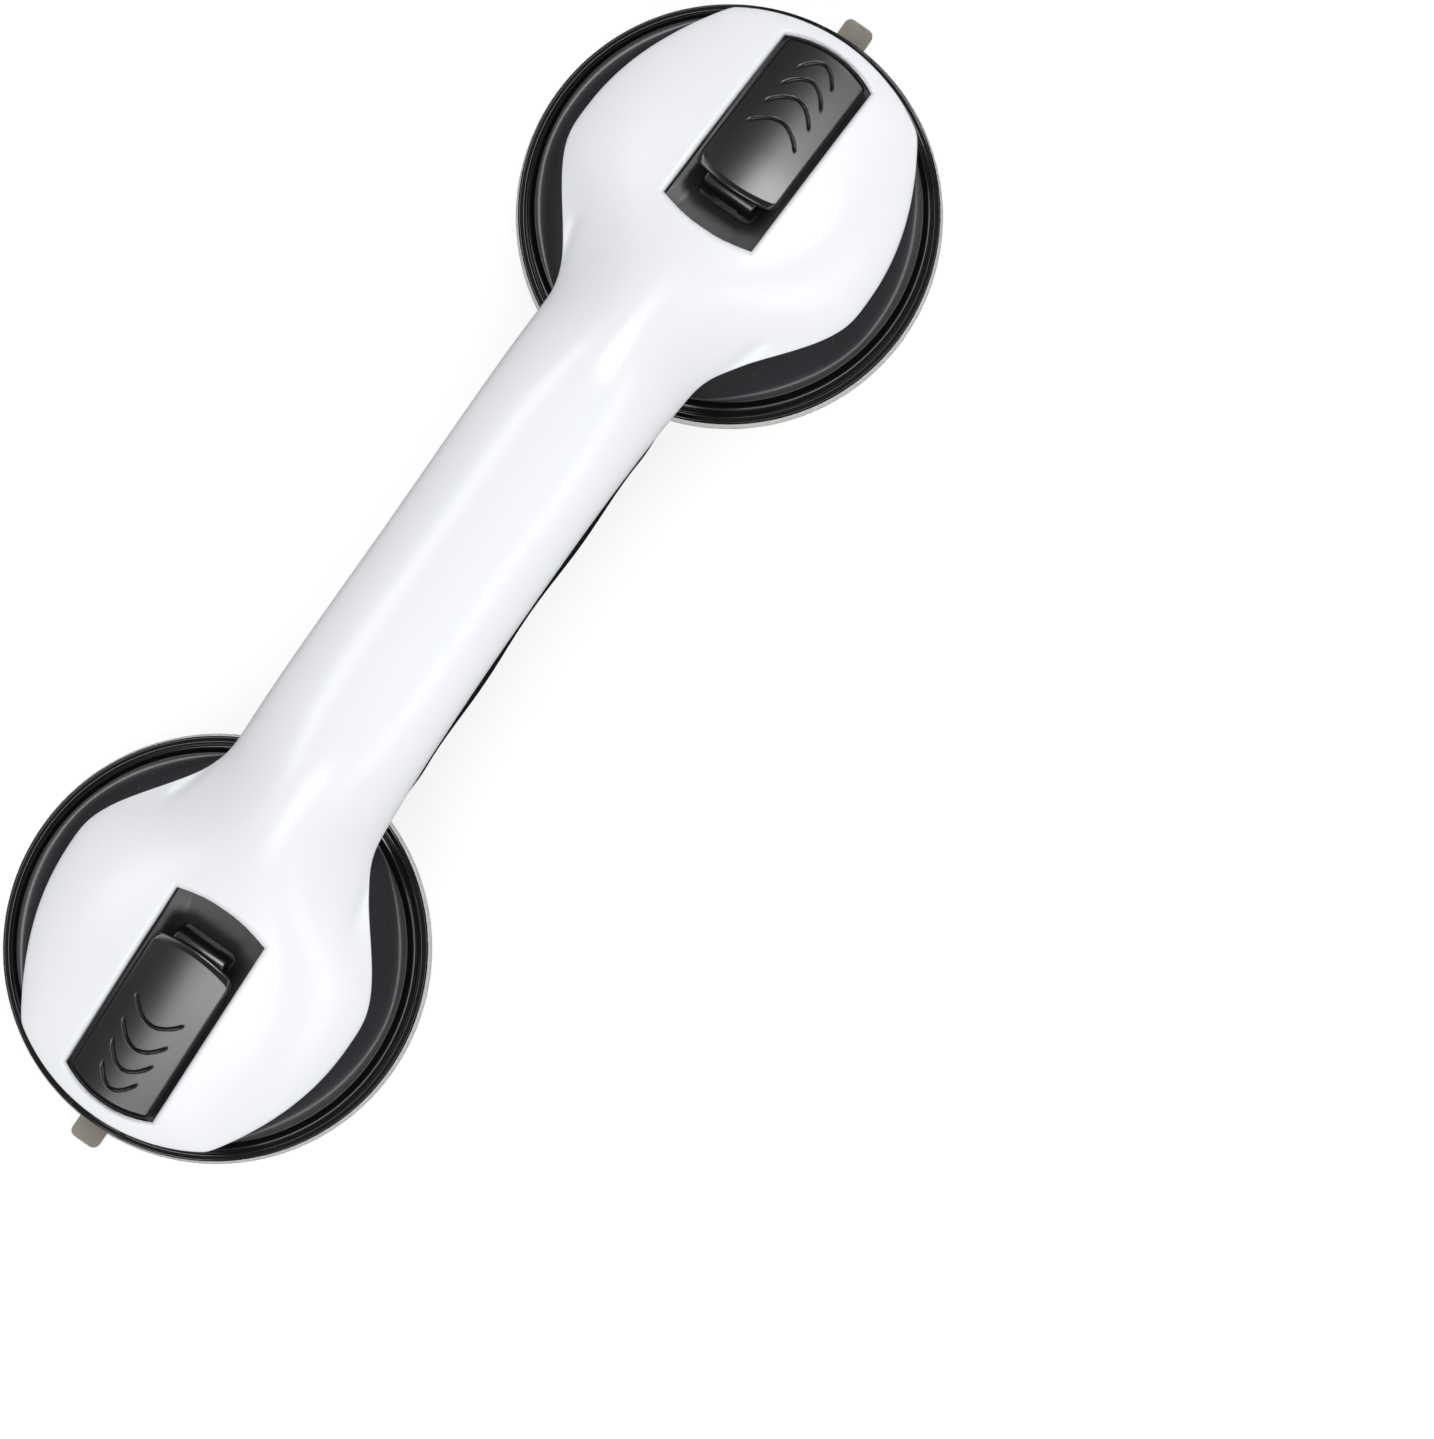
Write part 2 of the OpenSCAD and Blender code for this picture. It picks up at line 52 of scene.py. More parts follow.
CUP_X = 103.2
HANDLE_HALF, NECK_HALF = 18.5, 19.5
WALL = 2.4
GRIP_BOTTOM = 36.2
CAP_R, CAP_HALF, CAP_TAPER = 46.5, 39.1, 0.0088
FLARE_LEN, FLARE_END = 38.0, -4.5
FLANGE_R, FLANGE_Z = 48.8, 3.0
SHOULDER_R, SHOULDER_Z = 44.6, 12.6
CUP_R, CUP_LIFT, TAB_REACH, TAB_W = 49.5, 3.5, 53.9, 7.4
PIN_X, PIN_Z, PIN_R = 2.4, 29.4, 1.6
LEVER_HALF, LEVER_REACH, LEVER_T, LEVER_IN, LEVER_RISE = 10.8, 42.3, 3.2, 0.9, 0.7
LEVER_BOW_R, EDGE_ROLL, END_THINNING = 40.0, 1.4, 0.9
CAM_LOCKED, STEM_TRAVEL, LEVER_SWING = 8.5, 3.3, 65.0
HEEL_R, EYE_R = 4.1, 3.1
RECESS_HALF, RECESS_IN, RECESS_IN_R = LEVER_HALF + 1.2, -10.0, 37.0
NOSE_R, NOSE_GAP = 24.6, 0.6
FLOOR_AT_SLOT, FLOOR_SLOPE = 26.8, 0.307
SLOT_IN, SLOT_OUT, SLOT_HALF, SLOT_CORNER = PIN_X - 4.8, PIN_X + 9.9, 7.4, 1.8
CAM_HALF = SLOT_HALF - 0.6
NECK_ROOM = 3.6
DECK_TOP = PIN_Z - CAM_LOCKED - 0.08 - 1.2
DECK_Z = DECK_TOP - 2.5
GRIP_SCREW_X = (-50, -20, 20, 50)
HEAD_R, COUNTERBORE = 2.8, 1.7
STEM_DISC_TOP = 9.2

# heights along the handle as (x, z): its crest, the white shell's edge and the grip's belly;
# BELL_LINE gives (x, exponent) of the section, from round to bell-shaped
CREST_LINE = [(0, 64.5), (25, 63.9), (50, 60.6), (75, 49.9), (95, 38.5), (115, 30.2), (135, 21.6), (150, 15)]
EDGE_LINE = [
    (0, 50), (25, 49.4), (45, 45.6), (62, 37.4), (76, 30.6),
    (90, 25.8), (103, 22.2), (120, 17.8), (135, 14.4), (150, 13.2),
]
BELL_LINE = [(0, 1), (45, 1), (62, 1.4), (78, 2.6), (90, 1.7), (101, 1.2), (125, 1.1), (150, 1.05)]
BELLY_LINE = [(0, GRIP_BOTTOM), (45, GRIP_BOTTOM), (53, GRIP_BOTTOM - 0.7), (60, 32.6), (68, 27.5)]

TABLE_STEP = 0.25
TABLE_X = np.arange(-20.0, 175.0, TABLE_STEP)

# where the cap's side gives way to the circle of its nose, beyond the cup's centre, and how softly
NOSE_FROM, NOSE_SOFTNESS = 20, 0.6


def hermite(line, x):
    """Smooth curve through the points of a line, level at its first point."""
    xs, ys = np.array(line, float).T
    x = np.clip(np.abs(x), xs[0], xs[-1])
    i = np.clip(np.searchsorted(xs, x, side="right") - 1, 0, len(xs) - 2)
    slope = np.zeros(len(xs))
    slope[1:-1] = (ys[2:] - ys[:-2]) / (xs[2:] - xs[:-2])
    slope[-1] = (ys[-1] - ys[-2]) / (xs[-1] - xs[-2])
    h = xs[i + 1] - xs[i]
    t = (x - xs[i]) / h
    return (
        ys[i] * (1 - t) ** 2 * (1 + 2 * t) + slope[i] * h * t * (1 - t) ** 2
        + ys[i + 1] * t * t * (3 - 2 * t) + slope[i + 1] * h * t * t * (t - 1)
    )


def smoothed(values, sigma):
    """Gaussian smoothing of a table over TABLE_X, so that highlights run without kinks."""
    reach = int(4 * sigma / TABLE_STEP)
    k = np.exp(-0.5 * (np.arange(-reach, reach + 1) * TABLE_STEP / sigma) ** 2)
    padded = np.pad(values, reach, mode="reflect", reflect_type="odd")
    return np.convolve(padded, k / k.sum(), mode="valid")


def ease(t):
    t = np.clip(t, 0, 1)
    return t * t * (3 - 2 * t)


def flare(x):
    """Half-width of the shell: straight handle, flare, and the cap's side as far as the nose."""
    d = np.abs(x) - CUP_X
    neck = CUP_X - FLARE_LEN + FLARE_END
    inner = (
        HANDLE_HALF + (NECK_HALF - HANDLE_HALF) * np.minimum(np.abs(x) / neck, 1) ** 2
        + (CAP_HALF - NECK_HALF) * ease((d - FLARE_END + FLARE_LEN) / FLARE_LEN)
    )
    outer = CAP_HALF - CAP_TAPER * np.maximum(d, 0) ** 2
    return np.where(d < FLARE_END, inner, outer)


CREST = smoothed(hermite(CREST_LINE, TABLE_X), 3.0)
EDGE = smoothed(hermite(EDGE_LINE, TABLE_X), 3.0)
BELL = smoothed(hermite(BELL_LINE, TABLE_X), 3.0)
BELLY = smoothed(hermite(BELLY_LINE, TABLE_X), 1.5)
FLARE = smoothed(flare(TABLE_X), 2.0)


def look(table, x):
    return np.interp(np.abs(x), TABLE_X, table)


def half_width(x, inset=0.0):
    d = np.abs(x) - CUP_X
    a = look(FLARE, x) - inset
    b = np.sqrt(np.maximum((CAP_R - inset) ** 2 - np.where(d > 0, d, 0) ** 2, 0.01))
    return np.where(d < NOSE_FROM, a, (a + b - np.sqrt((a - b) ** 2 + NOSE_SOFTNESS ** 2)) / 2)


def crest_rise(x, inset=0.0):
    """Height of the crest over the shell's edge, which closes at the tip of the nose."""
    d = np.clip((np.abs(x) - CUP_X) / (CAP_R - inset), 0, 1)
    return (look(CREST, x) - look(EDGE, x) - 1.05 * inset) * np.sqrt(np.maximum(1 - d ** 12, 0.0001))


def roof_z(d):
    """Height of the housing's roof, just under the shell's edge; d is x in the cup's frame."""
    return look(EDGE, CUP_X + d) - 0.6


def floor_z(d):
    """Height of the recess's sloping floor in the cup's frame."""
    return FLOOR_AT_SLOT - FLOOR_SLOPE * (d - SLOT_IN)


# ---------------------------------------------------------------- mesh helpers

# angle in degrees past which an edge is sharp; distances in metres under which points are one
SHARP_ANGLE = 38.0
WELD, NO_LENGTH = 1e-7, 1e-8
# a loose skin with less than this share of the largest one's faces is left over from a cut
CRUMB_SHARE = 0.01
CIRCLE_STEPS, LATHE_STEPS = 72, 240


def make(name, verts, faces):
    """Mesh object from points in mm."""
    mesh = bpy.data.meshes.new(name)
    points = [tuple(float(c) * MM for c in v) for v in verts]
    mesh.from_pydata(points, [], [tuple(int(i) for i in f) for f in faces])
    obj = bpy.data.objects.new(name, mesh)
    bpy.context.scene.collection.objects.link(obj)
    return finish_mesh(obj)


def drop_crumbs(bm):
    """Deletes the tiny loose skins that an exact cut leaves behind."""
    seen = set()
    skins = []
    for first in bm.faces:
        if first in seen:
            continue
        seen.add(first)
        skin = [first]
        for face in skin:
            for edge in face.edges:
                if len(edge.link_faces) == 2:
                    for other in edge.link_faces:
                        if other not in seen:
                            seen.add(other)
                            skin.append(other)
        skins.append(skin)
    most = max(len(skin) for skin in skins)
    crumbs = [face for skin in skins if len(skin) < CRUMB_SHARE * most for face in skin]
    bmesh.ops.delete(bm, geom=crumbs, context="FACES")


def finish_mesh(obj, angle=SHARP_ANGLE, weld=WELD):
    """Welds and cleans a mesh, shades it smooth and marks edges past the angle as sharp."""
    bm = bmesh.new()
    bm.from_mesh(obj.data)
    bmesh.ops.remove_doubles(bm, verts=bm.verts, dist=weld)
    bmesh.ops.dissolve_degenerate(bm, edges=bm.edges, dist=NO_LENGTH)
    drop_crumbs(bm)
    bmesh.ops.recalc_face_normals(bm, faces=bm.faces)
    for f in bm.faces:
        f.smooth = True
    for e in bm.edges:
        e.smooth = not (len(e.link_faces) == 2 and e.calc_face_angle(0.0) > math.radians(angle))
    bm.to_mesh(obj.data)
    bm.free()
    obj.data.update()
    return obj


def grid_faces(rows, cols, start=0, wrap=False):
    r, c = np.meshgrid(np.arange(rows - 1), np.arange(cols if wrap else cols - 1), indexing="ij")
    n = (c + 1) % cols
    a = start + r * cols + c
    b = start + r * cols + n
    return np.stack([a, b, b + cols, a + cols], axis=-1).reshape(-1, 4).tolist()


def closed_between(outer, inner):
    """Points and faces of a closed skin between two open grids of equal shape (rows, cols, 3)."""
    rows, cols = outer.shape[:2]
    n = rows * cols
    faces = grid_faces(rows, cols) + [f[::-1] for f in grid_faces(rows, cols, n)]
    for i in range(rows - 1):
        first, last = i * cols, i * cols + cols - 1
        faces.append((first, first + cols, n + first + cols, n + first))
        faces.append((last, n + last, n + last + cols, last + cols))
    end = (rows - 1) * cols
    for j in range(cols - 1):
        faces.append((j, n + j, n + j + 1, j + 1))
        faces.append((end + j, end + j + 1, n + end + j + 1, n + end + j))
    return np.concatenate([outer.reshape(-1, 3), inner.reshape(-1, 3)]), faces


def closed_tube(grid):
    """Points and faces of a row of closed rings, joined in order and capped at both ends."""
    rows, cols = grid.shape[:2]
    faces = grid_faces(rows, cols, wrap=True)
    faces.append(tuple(range(cols))[::-1])
    faces.append(tuple(range((rows - 1) * cols, rows * cols)))
    return grid.reshape(-1, 3), faces


def extrude(name, low, high):
    """Closed prism between two outlines with the same number of points, in mm."""
    n = len(low)
    sides = [(i, (i + 1) % n, n + (i + 1) % n, n + i) for i in range(n)]
    return make(name, low + high, [tuple(range(n))[::-1], tuple(range(n, 2 * n))] + sides)


def prism(name, outline, z0, z1):
    """Closed prism along Z from a plan outline in mm."""
    return extrude(name, [(x, y, z0) for x, y in outline], [(x, y, z1) for x, y in outline])


def side_prism(name, outline, y0, y1):
    """Closed prism along Y from an outline of (x, z) points in mm."""
    return extrude(name, [(x, y0, z) for x, z in outline], [(x, y1, z) for x, z in outline])


def lathe(name, profile):
    """Closed ring from a closed profile of (radius, z) points in mm."""
    prof = np.array(profile, float)
    a = np.linspace(0, 2 * math.pi, LATHE_STEPS, endpoint=False)
    x = prof[None, :, 0] * np.cos(a)[:, None]
    y = prof[None, :, 0] * np.sin(a)[:, None]
    z = np.broadcast_to(prof[None, :, 1], x.shape)
    n, m = LATHE_STEPS, len(prof)
    faces = []
    for i in range(n):
        this, following = i * m, (i + 1) % n * m
        for j in range(m):
            after = (j + 1) % m
            faces.append((this + j, following + j, following + after, this + after))
    return make(name, np.stack([x, y, z], axis=-1).reshape(-1, 3), faces)


def apply_modifiers(obj):
    depsgraph = bpy.context.evaluated_depsgraph_get()
    obj.data = bpy.data.meshes.new_from_object(obj.evaluated_get(depsgraph))
    obj.modifiers.clear()
    return obj


def boolean(obj, other, operation="DIFFERENCE"):
    """Cuts obj with other, or joins or intersects them; other is used up."""
    mod = obj.modifiers.new("cut", "BOOLEAN")
    mod.solver = "EXACT"
    mod.operation = operation
    mod.object = other
    apply_modifiers(obj)
    bpy.data.objects.remove(other)
    return obj


def bevel(obj, width, segments, angle):
    """Rounds the edges past an angle in degrees, to a width in mm."""
    mod = obj.modifiers.new("bevel", "BEVEL")
    mod.width = width * MM
    mod.segments = segments
    mod.limit_method = "ANGLE"
    mod.angle_limit = math.radians(angle)
    mod.use_clamp_overlap = True
    return apply_modifiers(obj)


def at_cup(obj, side):
    """Moves a mesh drawn in the cup's own frame to its cup; side -1 is the mirror image."""
    m = Matrix.Translation((CUP_X * MM, 0, 0))
    if side < 0:
        m = Matrix.Diagonal((-1, 1, 1, 1)) @ m
    obj.data.transform(m)
    if side < 0:
        obj.data.flip_normals()
    return obj


def arc(cx, cy, r, a0, a1, n):
    """Points of an arc from angle a0 to a1, in degrees and n steps."""
    angles = [math.radians(a0 + (a1 - a0) * i / n) for i in range(n + 1)]
    return [(cx + r * math.cos(a), cy + r * math.sin(a)) for a in angles]


def circle(cx, cy, r, n=CIRCLE_STEPS):
    angles = [2 * math.pi * i / n for i in range(n)]
    return [(cx + r * math.cos(a), cy + r * math.sin(a)) for a in angles]


def box_outline(x0, x1, half):
    return [(x0, -half), (x1, -half), (x1, half), (x0, half)]


def rounding(distance, radius):
    """How far a rounded edge drops the surface at a distance from the edge."""
    drop = radius - np.sqrt(np.maximum(radius ** 2 - (radius - distance) ** 2, 0))
    return np.where(distance < radius, drop, 0)


# ---------------------------------------------------------------- materials

# the stretch of a noise texture's output that a roughness ramp uses
NOISE_LOW, NOISE_HIGH = 0.3, 0.7


def material(name, color, rough, **extra):
    mat = bpy.data.materials.new(name)
    mat.use_nodes = True
    nt = mat.node_tree
    bsdf = nt.nodes["Principled BSDF"]
    bsdf.inputs["Base Color"].default_value = (*color, 1)
    bsdf.inputs["Roughness"].default_value = rough
    for key, value in extra.items():
        bsdf.inputs[key.replace("_", " ")].default_value = value
    return mat, nt, bsdf


def object_coords(nt, scale=(1, 1, 1)):
    tc = nt.nodes.new("ShaderNodeTexCoord")
    mp = nt.nodes.new("ShaderNodeMapping")
    mp.inputs["Scale"].default_value = scale
    nt.links.new(tc.outputs["Object"], mp.inputs["Vector"])
    return mp.outputs["Vector"]


def noise(nt, vec, scale, detail):
    n = nt.nodes.new("ShaderNodeTexNoise")
    n.inputs["Scale"].default_value = scale
    n.inputs["Detail"].default_value = detail
    n.inputs["Roughness"].default_value = 0.5
    nt.links.new(vec, n.inputs["Vector"])
    return n.outputs["Fac"]


def ramp(nt, fac, lo, hi, out_lo, out_hi):
    m = nt.nodes.new("ShaderNodeMapRange")
    m.inputs["From Min"].default_value = lo
    m.inputs["From Max"].default_value = hi
    m.inputs["To Min"].default_value = out_lo
    m.inputs["To Max"].default_value = out_hi
    nt.links.new(fac, m.inputs["Value"])
    return m.outputs["Result"]


def tint(nt, fac, a, b):
    m = nt.nodes.new("ShaderNodeMix")
    m.data_type = "RGBA"
    nt.links.new(fac, m.inputs[0])
    m.inputs[6].default_value = (*a, 1)
    m.inputs[7].default_value = (*b, 1)
    return m.outputs[2]


def add(nt, a, b, wa, wb):
    """Weighted sum of two values."""
    s = nt.nodes.new("ShaderNodeMath")
    s.operation = "MULTIPLY"
    s.inputs[1].default_value = wa
    nt.links.new(a, s.inputs[0])
    m = nt.nodes.new("ShaderNodeMath")
    m.operation = "MULTIPLY_ADD"
    m.inputs[1].default_value = wb
    nt.links.new(b, m.inputs[0])
    nt.links.new(s.outputs[0], m.inputs[2])
    return m.outputs[0]


def colour(nt, bsdf, fac, dark, light):
    nt.links.new(tint(nt, fac, dark, light), bsdf.inputs["Base Color"])


def sheen(nt, bsdf, fac, lo, hi):
    nt.links.new(ramp(nt, fac, NOISE_LOW, NOISE_HIGH, lo, hi), bsdf.inputs["Roughness"])


def bump(nt, bsdf, height, strength, distance):
    b = nt.nodes.new("ShaderNodeBump")
    b.inputs["Strength"].default_value = strength
    b.inputs["Distance"].default_value = distance
    nt.links.new(height, b.inputs["Height"])
    nt.links.new(b.outputs["Normal"], bsdf.inputs["Normal"])


def shade(base, *factors):
    return tuple(base * f for f in factors)


def gloss_white():
    mat, nt, bsdf = material("gloss_white_abs", (0.86, 0.87, 0.885), 0.2, IOR=1.5, Specular_IOR_Level=0.2)
    vec = object_coords(nt)
    cloud = noise(nt, vec, 28, 3)
    fine = noise(nt, vec, 900, 4)
    colour(nt, bsdf, cloud, (0.865, 0.875, 0.905), (0.885, 0.895, 0.92))
    sheen(nt, bsdf, add(nt, cloud, fine, 0.6, 0.4), 0.2, 0.28)
    bump(nt, bsdf, noise(nt, vec, 320, 2), 0.03, 0.0002)
    return mat


def gloss_black(name, lo, hi, base):
    """Polished black with a base colour value and roughness from lo to hi."""
    mat, nt, bsdf = material(name, shade(base, 1, 1, 1.12), lo, IOR=1.5)
    vec = object_coords(nt)
    cloud = noise(nt, vec, 40, 3)
    dust = noise(nt, vec, 1400, 3)
    colour(nt, bsdf, cloud, shade(base, 0.8, 0.82, 0.9), shade(base, 1.2, 1.22, 1.35))
    sheen(nt, bsdf, add(nt, cloud, dust, 0.5, 0.5), lo, hi)
    bump(nt, bsdf, noise(nt, vec, 260, 2), 0.03, 0.0002)
    return mat


def satin_black(name, lo, hi, base, relief=0.06):
    """Finely grained black; relief is the strength of its grain."""
    mat, nt, bsdf = material(name, shade(base, 1, 1, 1), lo, IOR=1.5)
    vec = object_coords(nt)
    cloud = noise(nt, vec, 60, 3)
    grain = noise(nt, vec, 3600, 3)
    colour(nt, bsdf, cloud, shade(base, 0.85, 0.86, 0.9), shade(base, 1.15, 1.16, 1.22))
    sheen(nt, bsdf, add(nt, cloud, grain, 0.4, 0.6), lo, hi)
    bump(nt, bsdf, grain, relief, 0.00005)
    return mat


def clear_rubber():
    mat, nt, bsdf = material("clear_silicone", (0.80, 0.79, 0.76), 0.16, IOR=1.41, Transmission_Weight=0.72)
    vec = object_coords(nt)
    cloud = noise(nt, vec, 50, 3)
    colour(nt, bsdf, cloud, (0.76, 0.75, 0.72), (0.85, 0.84, 0.81))
    sheen(nt, bsdf, cloud, 0.12, 0.24)
    bump(nt, bsdf, noise(nt, vec, 180, 3), 0.08, 0.0003)
    return mat


def tab_rubber():
    mat, nt, bsdf = material("clear_silicone_tab", (0.3, 0.27, 0.23), 0.3, IOR=1.41, Transmission_Weight=0.15)
    vec = object_coords(nt)
    cloud = noise(nt, vec, 90, 3)
    colour(nt, bsdf, cloud, (0.25, 0.225, 0.19), (0.34, 0.31, 0.265))
    sheen(nt, bsdf, cloud, 0.25, 0.4)
    bump(nt, bsdf, noise(nt, vec, 260, 3), 0.1, 0.0003)
    return mat


def steel(name, scale, lo, hi):
    """Steel whose streaks are drawn out by scale."""
    mat, nt, bsdf = material(name, (0.62, 0.62, 0.63), lo, Metallic=1.0)
    streak = noise(nt, object_coords(nt, scale), 900, 4)
    stain = noise(nt, object_coords(nt), 120, 3)
    colour(nt, bsdf, stain, (0.56, 0.56, 0.57), (0.68, 0.68, 0.69))
    sheen(nt, bsdf, streak, lo, hi)
    bump(nt, bsdf, streak, 0.08, 0.00005)
    return mat


WHITE = gloss_white()
BLACK = gloss_black("gloss_black_abs", 0.10, 0.17, 0.004)
# the dome is the same black plastic as the flange ring, with its base colour lifted to dark grey: a painted
# reflection of the room
DOME = gloss_black("gloss_black_dome_painted_reflection", 0.2, 0.28, 0.033)
GRIP = gloss_black("gloss_black_grip", 0.14, 0.22, 0.013)
LEVER = satin_black("satin_black_abs", 0.22, 0.25, 0.004, relief=0.015)
FLOOR_BLACK = satin_black("satin_black_recess", 0.30, 0.42, 0.024)
STEM_BLACK = satin_black("satin_black_acetal", 0.35, 0.45, 0.018)
RUBBER = clear_rubber()
TAB_RUBBER = tab_rubber()
STEEL_TURNED = steel("steel_turned", (1, 1, 6), 0.22, 0.36)
STEEL_SHEET = steel("steel_sheet", (8, 1, 1), 0.25, 0.4)
STEEL_WIRE = steel("steel_wire", (1, 1, 1), 0.18, 0.3)


def dress(obj, mat):
    obj.data.materials.clear()
    obj.data.materials.append(mat)


# ---------------------------------------------------------------- handle shell

RECESS_STEPS = 40
RECESS_FILLET = 1.4
RIM_ROLL, RIM_ROLL_DEPTH = 0.45, 0.8

# soft crease on each side where the flare runs into the cap: ends in the cup's frame, depth, half-width
CREASE_FROM, CREASE_TO = (-22.5, 25.5), (-35.0, 21.8)
CREASE_DEPTH, CREASE_HALF = 1.5, 1.3

# lines of the shell's grid: along the cap in the cup's frame, closer together at the recess's ends and
# at the nose, and across it, closer together at the recess's side
CAP_START, HANDLE_STEP = -11.5, 1.2
CAP_LINES = np.concatenate([
    np.arange(CAP_START, -7.2, 0.18), np.arange(-7.2, 38.6, 1.0),
    np.arange(38.6, 44.4, 0.18), np.arange(44.4, 45.7, 0.3),
    np.array([45.75, 45.95, 46.1, 46.22, 46.32, 46.4, 46.46]),
])
ACROSS_LINES = np.array([
    0, 1.5, 3, 4.5, 6, 7.5, 9, 10.2, 11, 11.5, 11.75, 11.9,
    12.0, 12.08, 12.18, 12.3, 12.44, 12.6, 12.78, 12.98, 13.2, 13.45, 13.75,
])
# these lines take at most this share of the half-width; the rest has evenly turned steps down to the edge
ACROSS_SHARE, SIDE_STEPS = 0.72, 21


def recess_outline(extra=0.0):
    """Plan outline of the lever's recess in the cup's frame, widened by extra; counter-clockwise."""
    half = RECESS_HALF + extra
    r_out = NOSE_R + NOSE_GAP + extra
    a_out = math.degrees(math.asin(half / r_out))
    r_in = RECESS_IN_R + extra
    a_in = math.degrees(math.asin(half / r_in))
    outer = arc(LEVER_REACH - NOSE_R, 0, r_out, -a_out, a_out, RECESS_STEPS)
    inner = arc(RECESS_IN + RECESS_IN_R, 0, r_in, 180 - a_in, 180 + a_in, RECESS_STEPS)
    return outer + inner


def outline_distance(x, y, outline):
    """Distance in plan from points to a closed outline."""
    p = np.array(outline)
    q = np.roll(p, -1, axis=0)
    d = q - p
    best = np.full(x.shape, 1e9)
    for (px, py), (dx, dy) in zip(p, d):
        t = np.clip(((x - px) * dx + (y - py) * dy) / (dx * dx + dy * dy), 0, 1)
        best = np.minimum(best, np.hypot(x - px - t * dx, y - py - t * dy))
    return best


def rim_distance(x, y, width):
    """Distance in plan from the shell's outer edge, measured round the nose of the cap."""
    u = np.maximum(np.abs(x) - CUP_X, 0)
    from_nose = np.where(u > NOSE_FROM, CAP_R - np.hypot(u, y), CAP_R)
    return np.maximum(np.minimum(width - np.abs(y), from_nose), 0)


def crease(x, y):
    """How far the crease lowers the shell at x, y."""
    (px, py), (qx, qy) = CREASE_FROM, CREASE_TO
    u, v = np.abs(x) - CUP_X, np.abs(y)
    dx, dy = qx - px, qy - py
    t = ((u - px) * dx + (v - py) * dy) / (dx * dx + dy * dy)
    near = np.clip(t, 0, 1)
    away = np.hypot(u - px - near * dx, v - py - near * dy)
    fade = np.clip(np.minimum(t + 0.15, 1.15 - t) / 0.4, 0, 1)
    return CREASE_DEPTH * fade * np.exp(-(away / CREASE_HALF) ** 2)


def shell_grid(inset):
    """Grid of points over the whole shell: its outside at inset 0, or its inside at the wall's depth."""
    cap = CAP_LINES * (CAP_R - inset) / CAP_R
    half = np.concatenate([np.arange(0, CUP_X + CAP_START, HANDLE_STEP), CUP_X + cap])
    xs = np.concatenate([-half[:0:-1], half])
    w = half_width(xs, inset)
    k = np.minimum(1, ACROSS_SHARE * w / ACROSS_LINES[-1])
    a0 = np.arcsin(k * ACROSS_LINES[-1] / w)
    steps = np.linspace(0, 1, SIDE_STEPS)[1:]
    ang = a0[:, None] + (math.pi / 2 - a0[:, None]) * steps[None, :] ** 0.9
    y = np.concatenate([k[:, None] * ACROSS_LINES[None, :], w[:, None] * np.sin(ang)], axis=1)
    c = np.sqrt(np.maximum(1 - (y / w[:, None]) ** 2, 0))
    c[:, -1] = 0
    z = look(EDGE, xs)[:, None] + crest_rise(xs, inset)[:, None] * c ** look(BELL, xs)[:, None]
    y = np.concatenate([-y[:, :0:-1], y], axis=1)
    z = np.concatenate([z[:, :0:-1], z], axis=1)
    x = np.broadcast_to(xs[:, None], y.shape).copy()
    if inset == 0:
        z = z - rounding(outline_distance(np.abs(x) - CUP_X, y, recess_outline()), RECESS_FILLET)
        z = z - crease(x, y)
        z = z - rounding(rim_distance(x, y, w[:, None]), RIM_ROLL) * RIM_ROLL_DEPTH
    return np.stack([x, y, z], axis=-1)


def build_shell():
    shell = make("handle_shell_moulding", *closed_between(shell_grid(0), shell_grid(WALL)))
    for side in (1, -1):
        boolean(shell, at_cup(prism("cutter", recess_outline(), -10, 100), side))
    finish_mesh(shell, 42)
    dress(shell, WHITE)
    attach(shell, "bar")
    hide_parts("handle_shell")


# ---------------------------------------------------------------- handle grip

GRIP_REACH = 66
GRIP_ROWS, GRIP_COLS = 161, 73
# gaps to the shell above, to the shell's side and to the dome
GRIP_SEAM, GRIP_SETBACK, DOME_FIT = 0.12, 0.3, 0.35
# finger waves: half their pitch, and their height under the belly
FINGER, RIPPLE = 19, 0.35
# how far the side bulges, with the waves in it, where they end and where the bulge ends
BULGE, BULGE_WAVE, WAVE_END, BULGE_FADE = 1.9, 0.45, 50, 41
SCREW_BORE = 1.7


def finger_wave(x):
    return np.cos(np.pi * (np.abs(x) - FINGER) / FINGER)


def swell(x):
    """Bulge of the grip's side, which shows as a dark line beyond the white edge."""
    wave = BULGE_WAVE * finger_wave(x) * ease((WAVE_END - np.abs(x)) / 12)
    return BULGE + wave - 2.3 * ease((np.abs(x) - BULGE_FADE) / 16)


def grip_grid(inset):
    xs = np.linspace(-GRIP_REACH, GRIP_REACH, GRIP_ROWS)
    x, ang = np.meshgrid(xs, np.radians(np.linspace(-90, 90, GRIP_COLS)), indexing="ij")
    side = np.where(ang < 0, -1.0, 1.0)
    top = look(EDGE, x) - GRIP_SEAM
    depth = top - look(BELLY, x) - RIPPLE * (1 + finger_wave(x)) - inset
    s = np.sin(np.abs(ang))
    half = (half_width(x) - GRIP_SETBACK - inset) * s ** 0.55
    y = side * (half + swell(x) * np.sin(2 * np.abs(ang)))
    z = top - depth * np.maximum(np.cos(ang), 0) ** 0.9
    return np.stack([x, y, z], axis=-1)


